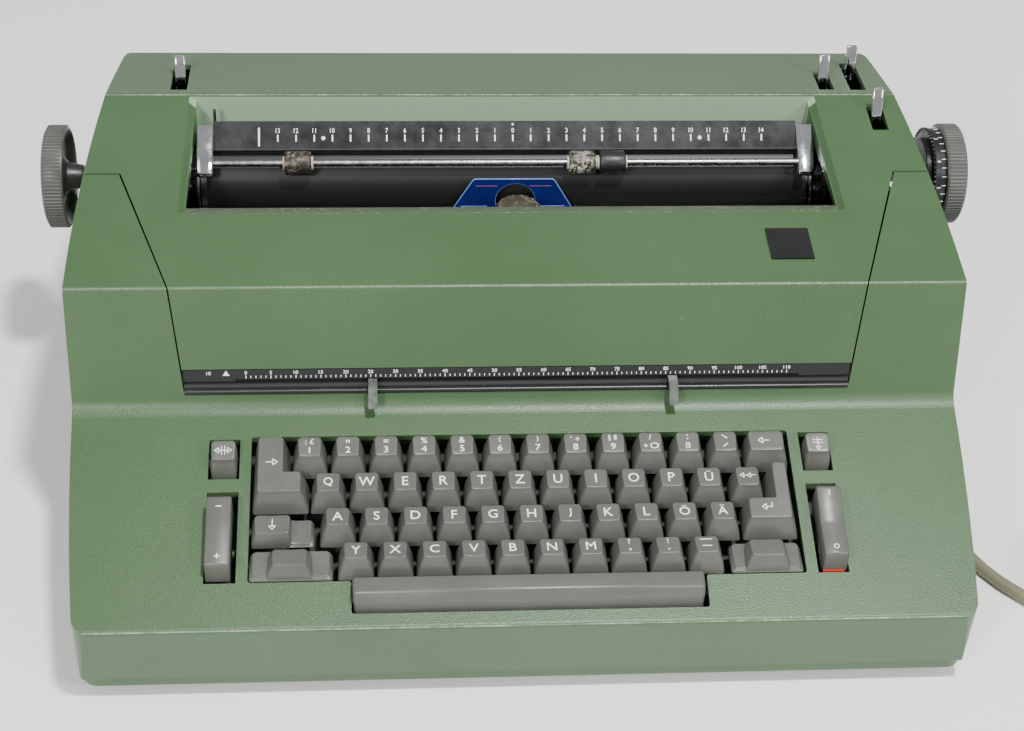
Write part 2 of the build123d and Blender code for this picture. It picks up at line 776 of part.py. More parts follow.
# Keyboard: key caps are lofts from a level base to a smaller, tilted top
def cap(base_x, base_d, base_z, top_x, top_edge, length, tilt, spread=0.0):
    """Key cap from base (x0, x1) by (d0, d1) to a top that starts at its front edge (d, z) and may spread."""
    x0, x1 = base_x
    d0, d1 = base_d
    low = [(x0, y(d0), base_z), (x1, y(d0), base_z), (x1, y(d1), base_z), (x0, y(d1), base_z)]
    x0, x1 = top_x
    d0, z0 = top_edge
    d1 = d0 + length * math.cos(math.radians(tilt))
    z1 = z0 + length * math.sin(math.radians(tilt))
    high = [(x0, y(d0), z0), (x1, y(d0), z0), (x1 + spread, y(d1), z1), (x0 - spread, y(d1), z1)]
    faces = [make_face(Polyline(*corners, close=True)) for corners in (low, high)]
    return loft(faces, ruled=True)


def stem(x, depth, top):
    """Stem from a key down through its guide hole in the keyboard frame."""
    low = frame_top(depth) - frame_sheet - stem_overrun
    return block(x - stem_width / 2, x + stem_width / 2, depth - stem_depth / 2,
                 depth + stem_depth / 2, low, top)


def frame_top(depth):
    return deck_z(depth) - frame_drop


row_edges = {row: (depth, deck_z(depth) + row_rises[row]) for row, depth in row_depths.items()}


def row_base(row):
    """Front, back and height of a row's key bases."""
    edge_d, edge_z = row_edges[row]
    front = edge_d - key_front_run
    return front, front + key_base_length, edge_z - key_height


stem_holes = []


def stemmed(shape, x, depth, top):
    stem_holes.append((x, depth))
    return shape + stem(x, depth, top)


def round_key(x, row):
    """One character key: the common cap on its stem."""
    front, back, base_z = row_base(row)
    shape = cap(
        (x - key_base / 2, x + key_base / 2), (front, back), base_z,
        (x - key_top / 2, x + key_top / 2), row_edges[row], key_top_length, row_tilts[row],
        key_top_spread,
    )
    return stemmed(shape, x, (front + back) / 2, base_z + 1)


for row in row_edges:
    keys = []
    steps = round((row_lasts[row] - row_firsts[row]) / key_pitch)
    for index in range(steps + 1):
        keys.append(round_key(row_firsts[row] + index * key_pitch, row))
    save(row + "_row_keys", *keys)


def wide_cap(row, base_x, top_x, shift=0.0, lift=0.0, length=key_top_length):
    """Wider key in a row, its top moved back by shift and up by lift."""
    front, back, base_z = row_base(row)
    edge_d, edge_z = row_edges[row]
    return cap(base_x, (front, back), base_z, top_x, (edge_d + shift, edge_z + lift), length,
               row_tilts[row])


def level_block(row, base_x, rise):
    front, back, base_z = row_base(row)
    return block(base_x[0], base_x[1], front, back, base_z, base_z + rise)


def two_row_key(low_row, high_row, wide, narrow):
    """Key over two rows with an L-shaped top in one plane; wide and narrow hold base and top spans."""
    front, back, base_z = row_base(low_row)
    high_back = row_base(high_row)[1]
    top_back = row_edges[high_row][0] + key_top_length * math.cos(math.radians(row_tilts[high_row]))
    run = (top_back - row_edges[low_row][0]) / math.cos(math.radians(two_row_tilt))
    low_part = cap(wide[0], (front, back), base_z, wide[1], row_edges[low_row], key_top_length,
                   two_row_tilt)
    high_part = cap(narrow[0], (front, high_back), base_z + two_row_rise, narrow[1],
                    row_edges[low_row], run, two_row_tilt)
    return low_part + high_part


# Left block: tab over two rows, shift lock, left shift
tab_low = row_base("q")
tab_wide = ((-136.3, -108.3), (-133.6, -112.2))
tab_narrow = ((-136.3, -117.6), (-133.6, -121.0))
tab_key = two_row_key("q", "number", tab_wide, tab_narrow)
save("tab_key", stemmed(tab_key, -126.0, 82.0, tab_low[2] + two_row_rise + 1))

lock_key = wide_cap("a", (-136.3, -116.9), (-134.3, -117.4))
lock_key += level_block("a", (-117.5, -105.6), 5.5)
save("shift_lock_key", stemmed(lock_key, -121.0, 53.0, row_base("a")[2] + 1))


def shift_key(base_x, top_x):
    shape = level_block("z", base_x, 5.0)
    front, back, base_z = row_base("z")
    shape += cap((top_x[0] - 3, top_x[1] + 3), (front, back), base_z + 4.5, top_x,
                 row_edges["z"], key_top_length, row_tilts["z"])
    return stemmed(shape, (base_x[0] + base_x[1]) / 2, (front + back) / 2, base_z + 1)


save("left_shift_key", shift_key((-136.9, -96.2), (-125.4, -109.0)))
save("right_shift_key", shift_key((99.7, 135.5), (109.0, 125.0)))

# Right block: backspace, express backspace, return over two rows
backspace = wide_cap("number", (113.1, 135.4), (115.5, 132.4))
save("backspace_key", stemmed(backspace, 124.2, 91.0, row_base("number")[2] + 1))
save("express_backspace_key", round_key(111.6, "q"))
return_wide = ((108.1, 135.7), (111.1, 132.2))
return_narrow = ((121.6, 135.7), (125.2, 132.2))
return_key = two_row_key("a", "q", return_wide, return_narrow)
save("return_key", stemmed(return_key, 128.0, 62.0, row_base("a")[2] + two_row_rise + 1))

# Space bar in the notch at the front
space_half = 86.0
space_bar = side_shape([(24, 52), (22, 64.3), (13.3, 62.8), (10.5, 58.5), (8.9, 50)],
                       -space_half, space_half)
for x in (-60.0, 60.0):
    space_bar = stemmed(space_bar, x, 17.0, 54.0)
save("space_bar", space_bar)


# Side controls: two push buttons and two rockers
def side_button(x):
    base_half = 6.2
    front, back = short_slot_front + 2.5, short_slot_back - 3.0
    base_z = 71.5
    shape = block(x - base_half, x + base_half, front, back, base_z, base_z + 5)
    corners = [(x - base_half, x + base_half), (front, back), base_z + 5,
               (x - 5.6, x + 5.6), (84.5, 84.0), 10.7, 22.0]
    shape += cap(*corners)
    return stemmed(shape, x, 91.0, base_z + 1)


rocker_half = 5.6
rocker_pin_radius = 2.0
rocker_pivot = (46.0, 56.0)


def side_rocker(x, top):
    outline = [(30, 57), (26.5, 60)] + top + [(66, 68), (62, 63)]
    shape = side_shape(outline, x - rocker_half, x + rocker_half)
    shape += side_shape([(40, 62), (52, 62), (50, 53), (42, 53)], x - 4, x + 4)
    return shape + bar(rocker_pin_radius, x - 9, x + 9, *rocker_pivot)


save("margin_release_button", side_button(-slot_centre))
save("index_button", side_button(slot_centre))
save("tab_set_rocker", side_rocker(-slot_centre, [(27, 69), (62.5, 81)]))
save("power_rocker", side_rocker(slot_centre, [(27, 69), (44.5, 73.5), (62.5, 82)]))

frame_front, frame_back = 10.0, 112.0
keyboard_frame = side_shape(
    [
        (frame_front, frame_top(frame_front)),
        (frame_back, frame_top(frame_back)),
        (frame_back, frame_top(frame_back) - frame_sheet),
        (frame_front, frame_top(frame_front) - frame_sheet),
    ],
    -frame_side, frame_side,
)
hole_width = stem_width + 2 * stem_clearance
hole_depth = stem_depth + 2 * stem_clearance
stem_cuts = []
for x, depth in stem_holes:
    stem_cuts.append(block(x - hole_width / 2, x + hole_width / 2, depth - hole_depth / 2,
                           depth + hole_depth / 2, frame_top(frame_front) - 20, frame_top(frame_back)))
keyboard_frame -= Compound(children=stem_cuts)
leg = side_shape(
    [(30, pan_floor), (30, frame_top(30) - 1), (100, frame_top(100) - 1), (100, pan_floor)],
    frame_side - 2, frame_side,
)
keyboard_frame += leg + mirrored(leg)
lug_outline = [(42, frame_top(42) - 1), (42, 59.2), (50, 59.2), (50, frame_top(50) - 1)]
for side in (-1, 1):
    for offset_x in (6.9, -8.6):
        x = side * slot_centre + offset_x
        lug = side_shape(lug_outline, x, x + 1.7)
        keyboard_frame += lug - bar(rocker_pin_radius + running_gap, x - 1, x + 3, *rocker_pivot)
save("keyboard_frame", keyboard_frame)

# Carrier with the rocking type element, ribbon cartridge and card holder
carrier_x = carrier_rest
carrier_front, carrier_back = ball_depth - 44, ball_depth + 26
cheek = [
    (carrier_front, 53), (carrier_back, 53), (carrier_back, 80), (ball_depth + 14, 84),
    (ball_depth + 10, 95), (ball_depth - 14, 95), (ball_depth - 26, 90), (ball_depth - 26, 118),
    (carrier_front + 2, 118),
]
cheek_inner = 22.0
carrier = block(carrier_x - carrier_half, carrier_x + carrier_half, carrier_front, carrier_back, 50, 53)
for x0, x1 in ((-carrier_half, -cheek_inner), (cheek_inner, carrier_half)):
    carrier += side_shape(cheek, carrier_x + x0, carrier_x + x1)
carrier += block(carrier_x - carrier_half, carrier_x + carrier_half, card_front - 2.5, card_front, 72, 96)
rocker_hinge = (ball_depth + 5.0, 75.0)
rocker_pin = 2.5
across = (carrier_x - carrier_half - 1, carrier_x + carrier_half + 1)
for depth, height, radius in (front_rail, rear_rail):
    carrier -= bar(radius + running_gap, *across, depth, height)
carrier -= bar(print_shaft_radius + running_gap, *across, print_shaft_depth, print_shaft_height)
carrier -= bar(rocker_pin, *across, *rocker_hinge)
carrier += bar(rocker_pin, carrier_x - carrier_half, carrier_x + carrier_half, *rocker_hinge)
save("carrier", carrier)

yoke_inner = 19.2
yoke_sheet = 2.0
yoke_shape = [
    (0.4, 70.5), (10, 70.5), (13, 84), (12, 104), (5, 130), (-5, 130), (-5, 118),
    (3.5, 100), (3.5, 88), (1.6, 80),
]
yoke = [(ball_depth + behind, height) for behind, height in yoke_shape]
bridge = (ball_depth + 4, ball_depth + 12)
rocker = block(carrier_x - yoke_inner - 1, carrier_x + yoke_inner + 1, *bridge, 100, 104)
for x0, x1 in ((-yoke_inner - yoke_sheet, -yoke_inner), (yoke_inner, yoke_inner + yoke_sheet)):
    rocker += side_shape(yoke, carrier_x + x0, carrier_x + x1)
tilt_pin = 1.5
rocker -= bar(rocker_pin + running_gap, *across, *rocker_hinge)
rocker -= bar(tilt_pin + running_gap, *across, ball_depth, ball_height)
save("rocker", rocker)

ear_inner = ball_radius + 0.5
ear_outer = yoke_inner - free_gap
tilt_floor = ball_height - ball_flat - 0.4
post_radius = 2.5
ball_place = Pos(carrier_x, y(ball_depth), ball_height)
tilt_ring = block(carrier_x - ear_outer, carrier_x + ear_outer, ball_depth - 4, ball_depth + 4,
                  tilt_floor - 2, tilt_floor)
for x0, x1 in ((-ear_outer, -ear_inner), (ear_inner, ear_outer)):
    tilt_ring += block(carrier_x + x0, carrier_x + x1, ball_depth - 4, ball_depth + 4,
                       tilt_floor - 2, ball_height + 3)
yoke_outer = yoke_inner + yoke_sheet
tilt_ring += bar(tilt_pin, carrier_x - yoke_outer, carrier_x - ear_inner, ball_depth, ball_height)
tilt_ring += bar(tilt_pin, carrier_x + ear_inner, carrier_x + yoke_outer, ball_depth, ball_height)
post_top = ball_height + ball_flat + 1.5
tilt_ring += Pos(carrier_x, y(ball_depth), (tilt_floor + post_top) / 2) * Cylinder(
    post_radius, post_top - tilt_floor
)
save("tilt_ring", tilt_ring)

ball = ball_place * (Sphere(ball_radius) & Box(2 * ball_radius, 2 * ball_radius, 2 * ball_flat))
save("type_element", ball - ball_place * Cylinder(post_radius + running_gap, 3 * ball_radius))

cartridge_half = 48.0
cartridge = block(carrier_x - cartridge_half, carrier_x + cartridge_half,
                  ball_depth - 63, ball_depth - 17.7, 118, 136)
cartridge = fillet(cartridge.edges().filter_by(Axis.Z), 6.0)
save("ribbon_cartridge", cartridge)

arch_z = 125.0
card = front_shape(
    [
        (carrier_x - 24, 84.5), (carrier_x + 24, 84.5), (carrier_x + 24, 104),
        (carrier_x + card_half_low, 116), (carrier_x + card_half_low, 120),
        (carrier_x + card_half_high, 137), (carrier_x - card_half_high, 137),
        (carrier_x - card_half_low, 120), (carrier_x - card_half_low, 116), (carrier_x - 24, 104),
    ],
    card_front, card_front + card_sheet,
)
arch = Pos(carrier_x, y(card_front), arch_z) * Rot(90, 0, 0) * Cylinder(card_arch_radius, 4 * card_sheet)
arch += block(carrier_x - card_arch_radius, carrier_x + card_arch_radius, card_front - 2, card_front + 2,
              arch_z, arch_z + 20)
save("card_holder", card - arch)

# Drive: motor, belt, drive shaft and print shaft
motor_radius = 38.0
motor_depth = body_depth - wall - motor_radius - 2.5
motor_height = 52.0
motor_pulley_radius = 10.0
drive_pulley_radius = 14.0
pulley_from = -frame_half + 3.5
pulley_to = pulley_from + 7.0
motor_left = pulley_to + 9.5
motor_length = 88.0
motor_spindle = 3.0
motor = bar(motor_radius, motor_left, motor_left + motor_length, motor_depth, motor_height)
motor += block(motor_left + 12, motor_left + motor_length - 12, motor_depth - 18, motor_depth + 18,
               pan_floor, motor_height)
motor -= bar(motor_spindle + running_gap, motor_left, motor_left + 12, motor_depth, motor_height)
save("motor", motor)
motor_pulley = bar(motor_pulley_radius, pulley_from, pulley_to, motor_depth, motor_height)
motor_pulley += bar(motor_spindle, pulley_to, motor_left + 10, motor_depth, motor_height)
save("motor_pulley", motor_pulley)

gear_near = frame_half + 2 * frame_plate
gear_far = gear_near + 6.0
gear_radius = math.hypot(drive_depth - print_shaft_depth, drive_height - print_shaft_height) / 2 - 0.15
shaft_out = frame_half + frame_plate + 1
drive_shaft = bar(drive_radius, -shaft_out, gear_near, drive_depth, drive_height)
drive_shaft += bar(drive_pulley_radius, pulley_from, pulley_to, drive_depth, drive_height)
drive_shaft += bar(gear_radius, gear_near, gear_far, drive_depth, drive_height)
save("drive_shaft", drive_shaft)
print_shaft = bar(print_shaft_radius, -shaft_out, gear_near, print_shaft_depth, print_shaft_height)
print_shaft += bar(gear_radius, gear_near, gear_far, print_shaft_depth, print_shaft_height)
save("print_shaft", print_shaft)


def belt_loop(small, large):
    """Outline round both pulleys: two arcs and their common tangents."""
    dx = motor_depth - drive_depth
    dz = motor_height - drive_height
    reach = math.hypot(dx, dz)
    aim = math.atan2(dz, dx)
    spread = math.acos((large - small) / reach)

    def at(centre, radius, angle):
        return (belt_from, y(centre[0]) + radius * math.cos(angle), centre[1] + radius * math.sin(angle))

    motor_centre = (motor_depth, motor_height)
    drive_centre = (drive_depth, drive_height)
    up, down = aim + spread, aim - spread
    small_arc = ThreePointArc(at(motor_centre, small, down), at(motor_centre, small, aim),
                              at(motor_centre, small, up))
    large_arc = ThreePointArc(at(drive_centre, large, up), at(drive_centre, large, aim + math.pi),
                              at(drive_centre, large, down))
    return make_face([small_arc, Line(small_arc @ 1, large_arc @ 0), large_arc,
                      Line(large_arc @ 1, small_arc @ 0)])


belt_from, belt_width, belt_sheet = pulley_from + 1.0, 5.0, 1.6
belt_gap = 0.1
belt_small = motor_pulley_radius + belt_gap
belt_large = drive_pulley_radius + belt_gap
belt_face = belt_loop(belt_small + belt_sheet, belt_large + belt_sheet)
belt_face -= belt_loop(belt_small, belt_large)
save("drive_belt", extrude(belt_face, amount=belt_width, dir=(1, 0, 0)))

# Mains lead: strain relief, free stretch along the side, coil and plug
cord_radius = 3.5
relief_start = body_depth
relief_length = 35.0
relief_x, relief_z = 150.0, 24.0
relief_place = Pos(relief_x, y(relief_start + relief_length / 2), relief_z) * Rot(-90, 0, 0)
relief = relief_place * Cone(7.0, 4.6, relief_length)
save("strain_relief", relief)

cord_route = [
    (relief_x, relief_start + relief_length, relief_z),
    (150.0, 428.0, 24.0),
    (172.0, 464.0, 6.5),
    (212.0, 473.0, 3.5),
    (246.0, 446.0, 3.5),
    (262.0, 398.0, 3.5),
    (259.5, 340.0, 3.5),
    (254.5, 262.0, 3.5),
    (246.2, 175.5, 3.5),
    (234.6, 90.4, 3.5),
]
last_run = 78.0
last_heading = Vector(0.685, -0.7286, 0).normalized()
corner = Vector(*cord_route[-1])
coil_start = corner + last_heading * last_run
cord_route.append((coil_start.X, coil_start.Y, coil_start.Z))
cord_points = [Vector(x, y(d), z) for x, d, z in cord_route]


def corner_radius(before, point, after):
    """As large an arc as the two runs allow."""
    turn = math.radians((point - before).get_angle(after - point))
    shorter = min((point - before).length, (after - point).length)
    return 0.45 * shorter / math.tan(turn / 2)


cord_radii = []
for index in range(1, len(cord_points) - 1):
    cord_radii.append(corner_radius(*cord_points[index - 1:index + 2]))
print("cord radii", [round(value) for value in cord_radii])
cord_path = FilletPolyline(*cord_points, radius=cord_radii)
cord_start = Plane(origin=cord_path @ 0, z_dir=cord_path % 0)
power_cord = sweep(cord_start * Circle(cord_radius), path=cord_path)
expected = math.pi * cord_radius**2 * cord_path.length
print("cord length", round(cord_path.length), "volume ratio", round(power_cord.volume / expected, 4))
save("power_cord", power_cord)

# Coil of the spare length: half circles spiral in on the floor, climb, and spiral out on top
coil_pitch = 7.7
coil_climb = 7.7
coil_outer = 50.0
half_turns_in = 6
half_turns_out = 5
exit_run = 40.0
coil_side = Vector(-last_heading.Y, last_heading.X, 0)
coil_entry = cord_points[-1] + last_heading * 2 * cord_radius
coil_middle = coil_entry + coil_side * coil_outer


def coil_point(along, aside, height):
    """Point from the coil's middle: along the lead's heading, and aside towards its start."""
    return coil_middle + last_heading * along - coil_side * aside + Vector(0, 0, height)


coil_edges = [Line(cord_points[-1], coil_entry)]
aside = coil_outer
height = 0.0
radius = coil_outer
sense = 1
half_turns = half_turns_in + 1 + half_turns_out
for count in range(half_turns):
    climbing = count == half_turns_in
    rise = coil_climb if climbing else 0.0
    end_aside = aside - sense * 2 * radius
    crown = sense * math.hypot(radius, rise / 2)
    coil_edges.append(ThreePointArc(
        coil_point(0, aside, height),
        coil_point(crown, (aside + end_aside) / 2, height + rise / 2),
        coil_point(0, end_aside, height + rise),
    ))
    aside = end_aside
    height += rise
    sense = -sense
    radius += coil_pitch / 2 if count >= half_turns_in else -coil_pitch / 2
exit_start = coil_point(0, aside, height)
exit_end = exit_start + last_heading * (sense * exit_run)
coil_edges.append(Line(exit_start, exit_end))
coil_path = Wire(coil_edges)
coil_start_plane = Plane(origin=cord_points[-1], z_dir=last_heading)
cord_coil = sweep(coil_start_plane * Circle(cord_radius), path=coil_path)
save("cord_coil", cord_coil)

samples = 420
coil_samples = [coil_path @ (index / samples) for index in range(samples + 1)]
sample_step = coil_path.length / samples
apart = int(8 * cord_radius / sample_step)
least = min(
    (coil_samples[i] - coil_samples[j]).length
    for i in range(samples + 1)
    for j in range(i + apart, samples + 1)
)
print("coil length", round(coil_path.length), "least gap", round(least - 2 * cord_radius, 2))
print("coil volume ratio", round(cord_coil.volume / (math.pi * cord_radius**2 * coil_path.length), 4))

# Plug: flat moulded body on the floor, with a collar and two round pins
plug_collar = 12.0
plug_length = 36.0
plug_width = 34.0
plug_pin_radius = 2.4
plug_pin_length = 19.0
plug_pin_half_spread = 9.5
plug_place = Plane(origin=exit_end, x_dir=last_heading, z_dir=(0, 0, 1))
plug_height = 2 * exit_end.Z
plug_body = Pos(plug_collar + plug_length / 2, 0, 0) * Box(plug_length, plug_width, plug_height)
plug_body = fillet(plug_body.edges().filter_by(Axis.Z), 7.0)
plug = plug_body + Pos(plug_collar / 2, 0, 0) * Rot(0, 90, 0) * Cone(5.2, 7.0, plug_collar)
for side in (-1, 1):
    centre_x = plug_collar + plug_length + plug_pin_length / 2
    pin_place = Pos(centre_x, side * plug_pin_half_spread, 0) * Rot(0, 90, 0)
    plug += pin_place * Cylinder(plug_pin_radius, plug_pin_length)
save("power_plug", plug_place * plug)
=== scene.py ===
import json
import math

import bmesh
import bpy
from mathutils import Euler, Matrix, Vector


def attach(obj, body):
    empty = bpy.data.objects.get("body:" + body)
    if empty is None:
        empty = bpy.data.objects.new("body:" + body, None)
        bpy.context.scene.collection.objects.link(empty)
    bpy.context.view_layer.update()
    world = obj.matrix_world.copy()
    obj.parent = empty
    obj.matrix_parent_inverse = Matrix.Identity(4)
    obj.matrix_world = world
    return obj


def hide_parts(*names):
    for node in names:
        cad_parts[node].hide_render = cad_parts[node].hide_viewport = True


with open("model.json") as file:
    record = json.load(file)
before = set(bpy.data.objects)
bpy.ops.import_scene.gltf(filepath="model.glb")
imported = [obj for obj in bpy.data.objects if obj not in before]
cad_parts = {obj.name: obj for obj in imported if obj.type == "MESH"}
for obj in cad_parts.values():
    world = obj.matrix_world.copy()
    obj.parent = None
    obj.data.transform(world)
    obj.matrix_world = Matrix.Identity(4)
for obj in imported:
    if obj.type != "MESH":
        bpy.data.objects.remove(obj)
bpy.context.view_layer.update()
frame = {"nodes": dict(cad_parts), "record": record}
nodes = frame["nodes"]
scene = bpy.context.scene

MM = 0.001
BODY_DEPTH = 353.5


def at(x, depth, height):
    """Point of the shared frame from millimetres: x, depth behind the front edge, height."""
    return Vector((x, depth - BODY_DEPTH / 2, height)) * MM


def link(name, data):
    """Object with the given data, linked into the scene."""
    made = bpy.data.objects.new(name, data)
    scene.collection.objects.link(made)
    return made


def mesh_of(holder):
    """Plain mesh of an object as it stands evaluated."""
    return bpy.data.meshes.new_from_object(holder.evaluated_get(bpy.context.evaluated_depsgraph_get()))


def settle(made, body, slot, replaced=()):
    """Ride a piece on its body and hide the CAD nodes it stands for; its slot is not used."""
    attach(made, body)
    if replaced:
        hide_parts(*replaced)
    return made


# Camera, lights and floor
CAMERA_LENS = 65.7
CAMERA_PLACE = (-0.0724, -0.7812, 0.7265)
CAMERA_TURN = (49.861, -2.149, -3.489)
FLOOR_HALF = 6.0
FLOOR_COLOUR = (0.93, 0.925, 0.91, 1)
SKY_COLOUR = (0.94, 0.97, 1.0, 1)
SKY_STRENGTH = 0.5
# Each lamp's place, target, size, power and colour
LAMPS = {
    "key_light": ((-0.95, -1.45, 1.35), (0, 0, 0.1), 0.45, 25, (1.0, 0.99, 0.965)),
    "fill_light": ((1.35, -1.35, 1.3), (0, 0, 0.1), 0.5, 16, (0.97, 0.985, 1.0)),
    "crease_light": ((0.32, -0.44, 1.9), (0, -0.04, 0.13), 0.2, 43, (1, 1, 1)),
}


def make_camera():
    data = bpy.data.cameras.new("camera")
    data.sensor_width = 36.0
    data.lens = CAMERA_LENS
    data.clip_start = 0.01
    camera = link("camera", data)
    camera.location = CAMERA_PLACE
    camera.rotation_euler = Euler([math.radians(a) for a in CAMERA_TURN])
    scene.camera = camera


def make_lamp(name, place, target, size, power, colour):
    data = bpy.data.lights.new(name, "AREA")
    data.shape = "DISK"
    data.size = size
    data.energy = power
    data.color = colour
    lamp = link(name, data)
    lamp.location = place
    direction = Vector(target) - Vector(place)
    lamp.rotation_euler = direction.to_track_quat("-Z", "Y").to_euler()


def make_stage():
    """Pale floor, and soft light that comes mainly from the upper left front, as the key shadows show."""
    mesh = bpy.data.meshes.new("floor")
    corners = [(side * FLOOR_HALF, end * FLOOR_HALF, 0) for side, end in ((-1, -1), (1, -1), (1, 1), (-1, 1))]
    mesh.from_pydata(corners, [], [(0, 1, 2, 3)])
    material = bpy.data.materials.new("floor_paper")
    material.use_nodes = True
    shader = material.node_tree.nodes["Principled BSDF"]
    shader.inputs["Base Color"].default_value = FLOOR_COLOUR
    shader.inputs["Roughness"].default_value = 0.9
    mesh.materials.append(material)
    link("floor", mesh)
    for name, lamp in LAMPS.items():
        make_lamp(name, *lamp)
    world = bpy.data.worlds.new("studio")
    scene.world = world
    world.use_nodes = True
    sky = world.node_tree.nodes["Background"]
    sky.inputs["Color"].default_value = SKY_COLOUR
    sky.inputs["Strength"].default_value = SKY_STRENGTH


# Materials: each has its own noise, bump and wear in object coordinates; the body paint also has painted
# light and shade
class Wiring:
    """Adds and wires the nodes of one tree."""

    def __init__(self, tree):
        self.tree = tree

    def node(self, kind, inputs=None, **settings):
        made = self.tree.nodes.new(kind)
        for key, value in settings.items():
            setattr(made, key, value)
        for key, value in (inputs or {}).items():
            self.put(value, made.inputs[key])
        return made

    def put(self, value, socket):
        if isinstance(value, bpy.types.NodeSocket):
            self.tree.links.new(value, socket)
        else:
            socket.default_value = value

    def math(self, operation, first, *others):
        """Math node; with more than two values, one node for each further value."""
        if not others:
            return self.node("ShaderNodeMath", {0: first}, operation=operation).outputs[0]
        for other in others:
            first = self.node("ShaderNodeMath", {0: first, 1: other}, operation=operation).outputs[0]
        return first


class Shade(Wiring):
    """One material and what it is mixed from."""

    def __init__(self, name):
        self.material = bpy.data.materials.new(name)
        self.material.use_nodes = True
        super().__init__(self.material.node_tree)
        self.bsdf = self.tree.nodes["Principled BSDF"]
        self.coord = self.node("ShaderNodeTexCoord").outputs["Object"]

    def noise(self, scale, detail=3.0, rough=0.5):
        made = self.node("ShaderNodeTexNoise", {"Vector": self.coord, "Scale": scale,
                                                "Detail": detail, "Roughness": rough})
        return made.outputs["Fac"]

    def ramp(self, value, low, high, start=0.0, end=1.0):
        made = self.node("ShaderNodeMapRange", {"Value": value, "From Min": low, "From Max": high,
                                                "To Min": start, "To Max": end})
        return made.outputs["Result"]

    def mix(self, factor, a, b):
        made = self.node("ShaderNodeMix", data_type="RGBA")
        self.put(factor, made.inputs[0])
        self.put(a, made.inputs[6])
        self.put(b, made.inputs[7])
        return made.outputs[2]

    def bump(self, height, strength, distance):
        made = self.node("ShaderNodeBump", {"Height": height, "Strength": strength, "Distance": distance})
        return made.outputs["Normal"]

    def vector_math(self, operation, inputs, output):
        return self.node("ShaderNodeVectorMath", inputs, operation=operation).outputs[output]

    def axes(self):
        parts = self.node("ShaderNodeSeparateXYZ", {0: self.coord})
        return parts.outputs[0], parts.outputs[1], parts.outputs[2]

    def set(self, **values):
        """Sockets of the surface shader, with _ for the blanks in their names."""
        for key, value in values.items():
            self.put(value, self.bsdf.inputs[key.replace("_", " ")])


def linear(red, green, blue):
    """Screen colour from 0 to 255 as a linear shader colour."""
    out = []
    for value in (red, green, blue):
        c = value / 255
        out.append(c / 12.92 if c <= 0.04045 else ((c + 0.055) / 1.055) ** 2.4)
    return (*out, 1.0)


def plain(name, colour, rough=0.5, metal=0.0, mottling=0.12, scale=60.0, grain=0.0, grain_scale=900.0):
    """Plastic, rubber or metal with slight mottling of colour and gloss and a fine grain."""
    s = Shade(name)
    patch = s.noise(scale, 4.0, 0.6)
    middle = Vector(linear(*colour)[:3])
    dark, light = [(*(min(1.0, c) for c in middle * share), 1.0) for share in (1 - mottling, 1 + mottling)]
    s.set(Base_Color=s.mix(s.ramp(patch, 0.3, 0.7), dark, light), Metallic=metal,
          Roughness=s.ramp(patch, 0.3, 0.7, max(0.02, rough - 0.07), min(1.0, rough + 0.07)))
    if grain:
        s.set(Normal=s.bump(s.noise(grain_scale, 2.0), grain, 0.0004))
    return s.material


def mottled(name, dark, light, scale, level, rough=0.5):
    """Worn surface: light flecks of one size on a dark ground, above a noise level."""
    s = Shade(name)
    fleck = s.ramp(s.noise(scale, 4.0, 0.65), level, level + 0.12)
    patch = s.ramp(s.noise(scale * 0.2, 3.0), 0.35, 0.65)
    s.set(Base_Color=s.mix(s.math("MULTIPLY", fleck, patch), linear(*dark), linear(*light)),
          Roughness=s.ramp(fleck, 0.0, 1.0, rough - 0.1, rough + 0.2),
          Normal=s.bump(fleck, 0.25, 0.0003))
    return s.material


def card_plastic(name):
    """Clear blue plastic."""
    s = Shade(name)
    s.set(Base_Color=s.mix(s.noise(60.0), linear(18, 26, 92), linear(28, 42, 122)),
          Roughness=0.12, Alpha=0.82, IOR=1.49)
    return s.material


# Body paint: its colours, the creases of paint wear and painted edge highlight as (depth, height), and its
# scratches
# The pale crease tone is paint wear and a painted edge highlight; the tone of the face behind the paper
# opening is painted light; the duller tone of the top behind it is painted shade
PAINT = {
    "dark": (60, 87, 53), "light": (68, 95, 61), "cloud": (72, 96, 66), "worn_and_edge_highlight": (206, 224, 196),
    "wall_light": (150, 176, 146), "deck_shade": (96, 106, 90), "scuff": (176, 184, 168),
}
CREASES = ((0.4, 50.8), (141.0, 149.0), (298.0, 163.5))
CREASE_HALF = 0.6
# Start, end and half width of each scratch
SCUFFS = (
    ((10.0, 153.5, 152.0), (12.5, 150.5, 151.8), 0.8), ((-30.0, 0.9, 21.0), (-9.0, 0.6, 24.0), 0.35),
    ((-12.0, 0.9, 21.5), (-9.5, 0.6, 29.0), 0.35), ((81.0, 132.5, 120.0), (82.5, 136.0, 132.0), 0.5),
)
# Painted light on the face behind the paper opening, and painted shade on the top behind it
WALL_FRONT, WALL_BACK, WALL_TOP, WALL_HALF = 291.0, 297.7, 163.2, 176.5
DECK_START, DECK_FULL, DECK_LOW, DECK_HIGH = 298.35, 300.75, 155.0, 157.0


def crease_distance(s, depth, height):
    """Distance in metres from a crease that runs along X."""
    _, y, z = s.axes()
    place = at(0, depth, height)
    dy = s.math("SUBTRACT", y, place.y)
    dz = s.math("SUBTRACT", z, place.z)
    return s.math("SQRT", s.math("ADD", s.math("MULTIPLY", dy, dy), s.math("MULTIPLY", dz, dz)))


def rubbed(s):
    """Share of the pale tone along the creases, paint wear and a painted edge highlight, broken into runs and
    specks.
    """
    lines = [s.ramp(crease_distance(s, *crease), CREASE_HALF * MM * 0.35, CREASE_HALF * MM, 1.0, 0.0)
             for crease in CREASES]
    runs = s.ramp(s.noise(48.0, 6.0, 0.75), 0.42, 0.6)
    specks = s.ramp(s.noise(420.0, 3.0, 0.7), 0.36, 0.6, 0.35, 1.0)
    return s.math("MULTIPLY", s.math("MAXIMUM", *lines), s.ramp(runs, 0.0, 1.0, 0.3, 0.8), specks)


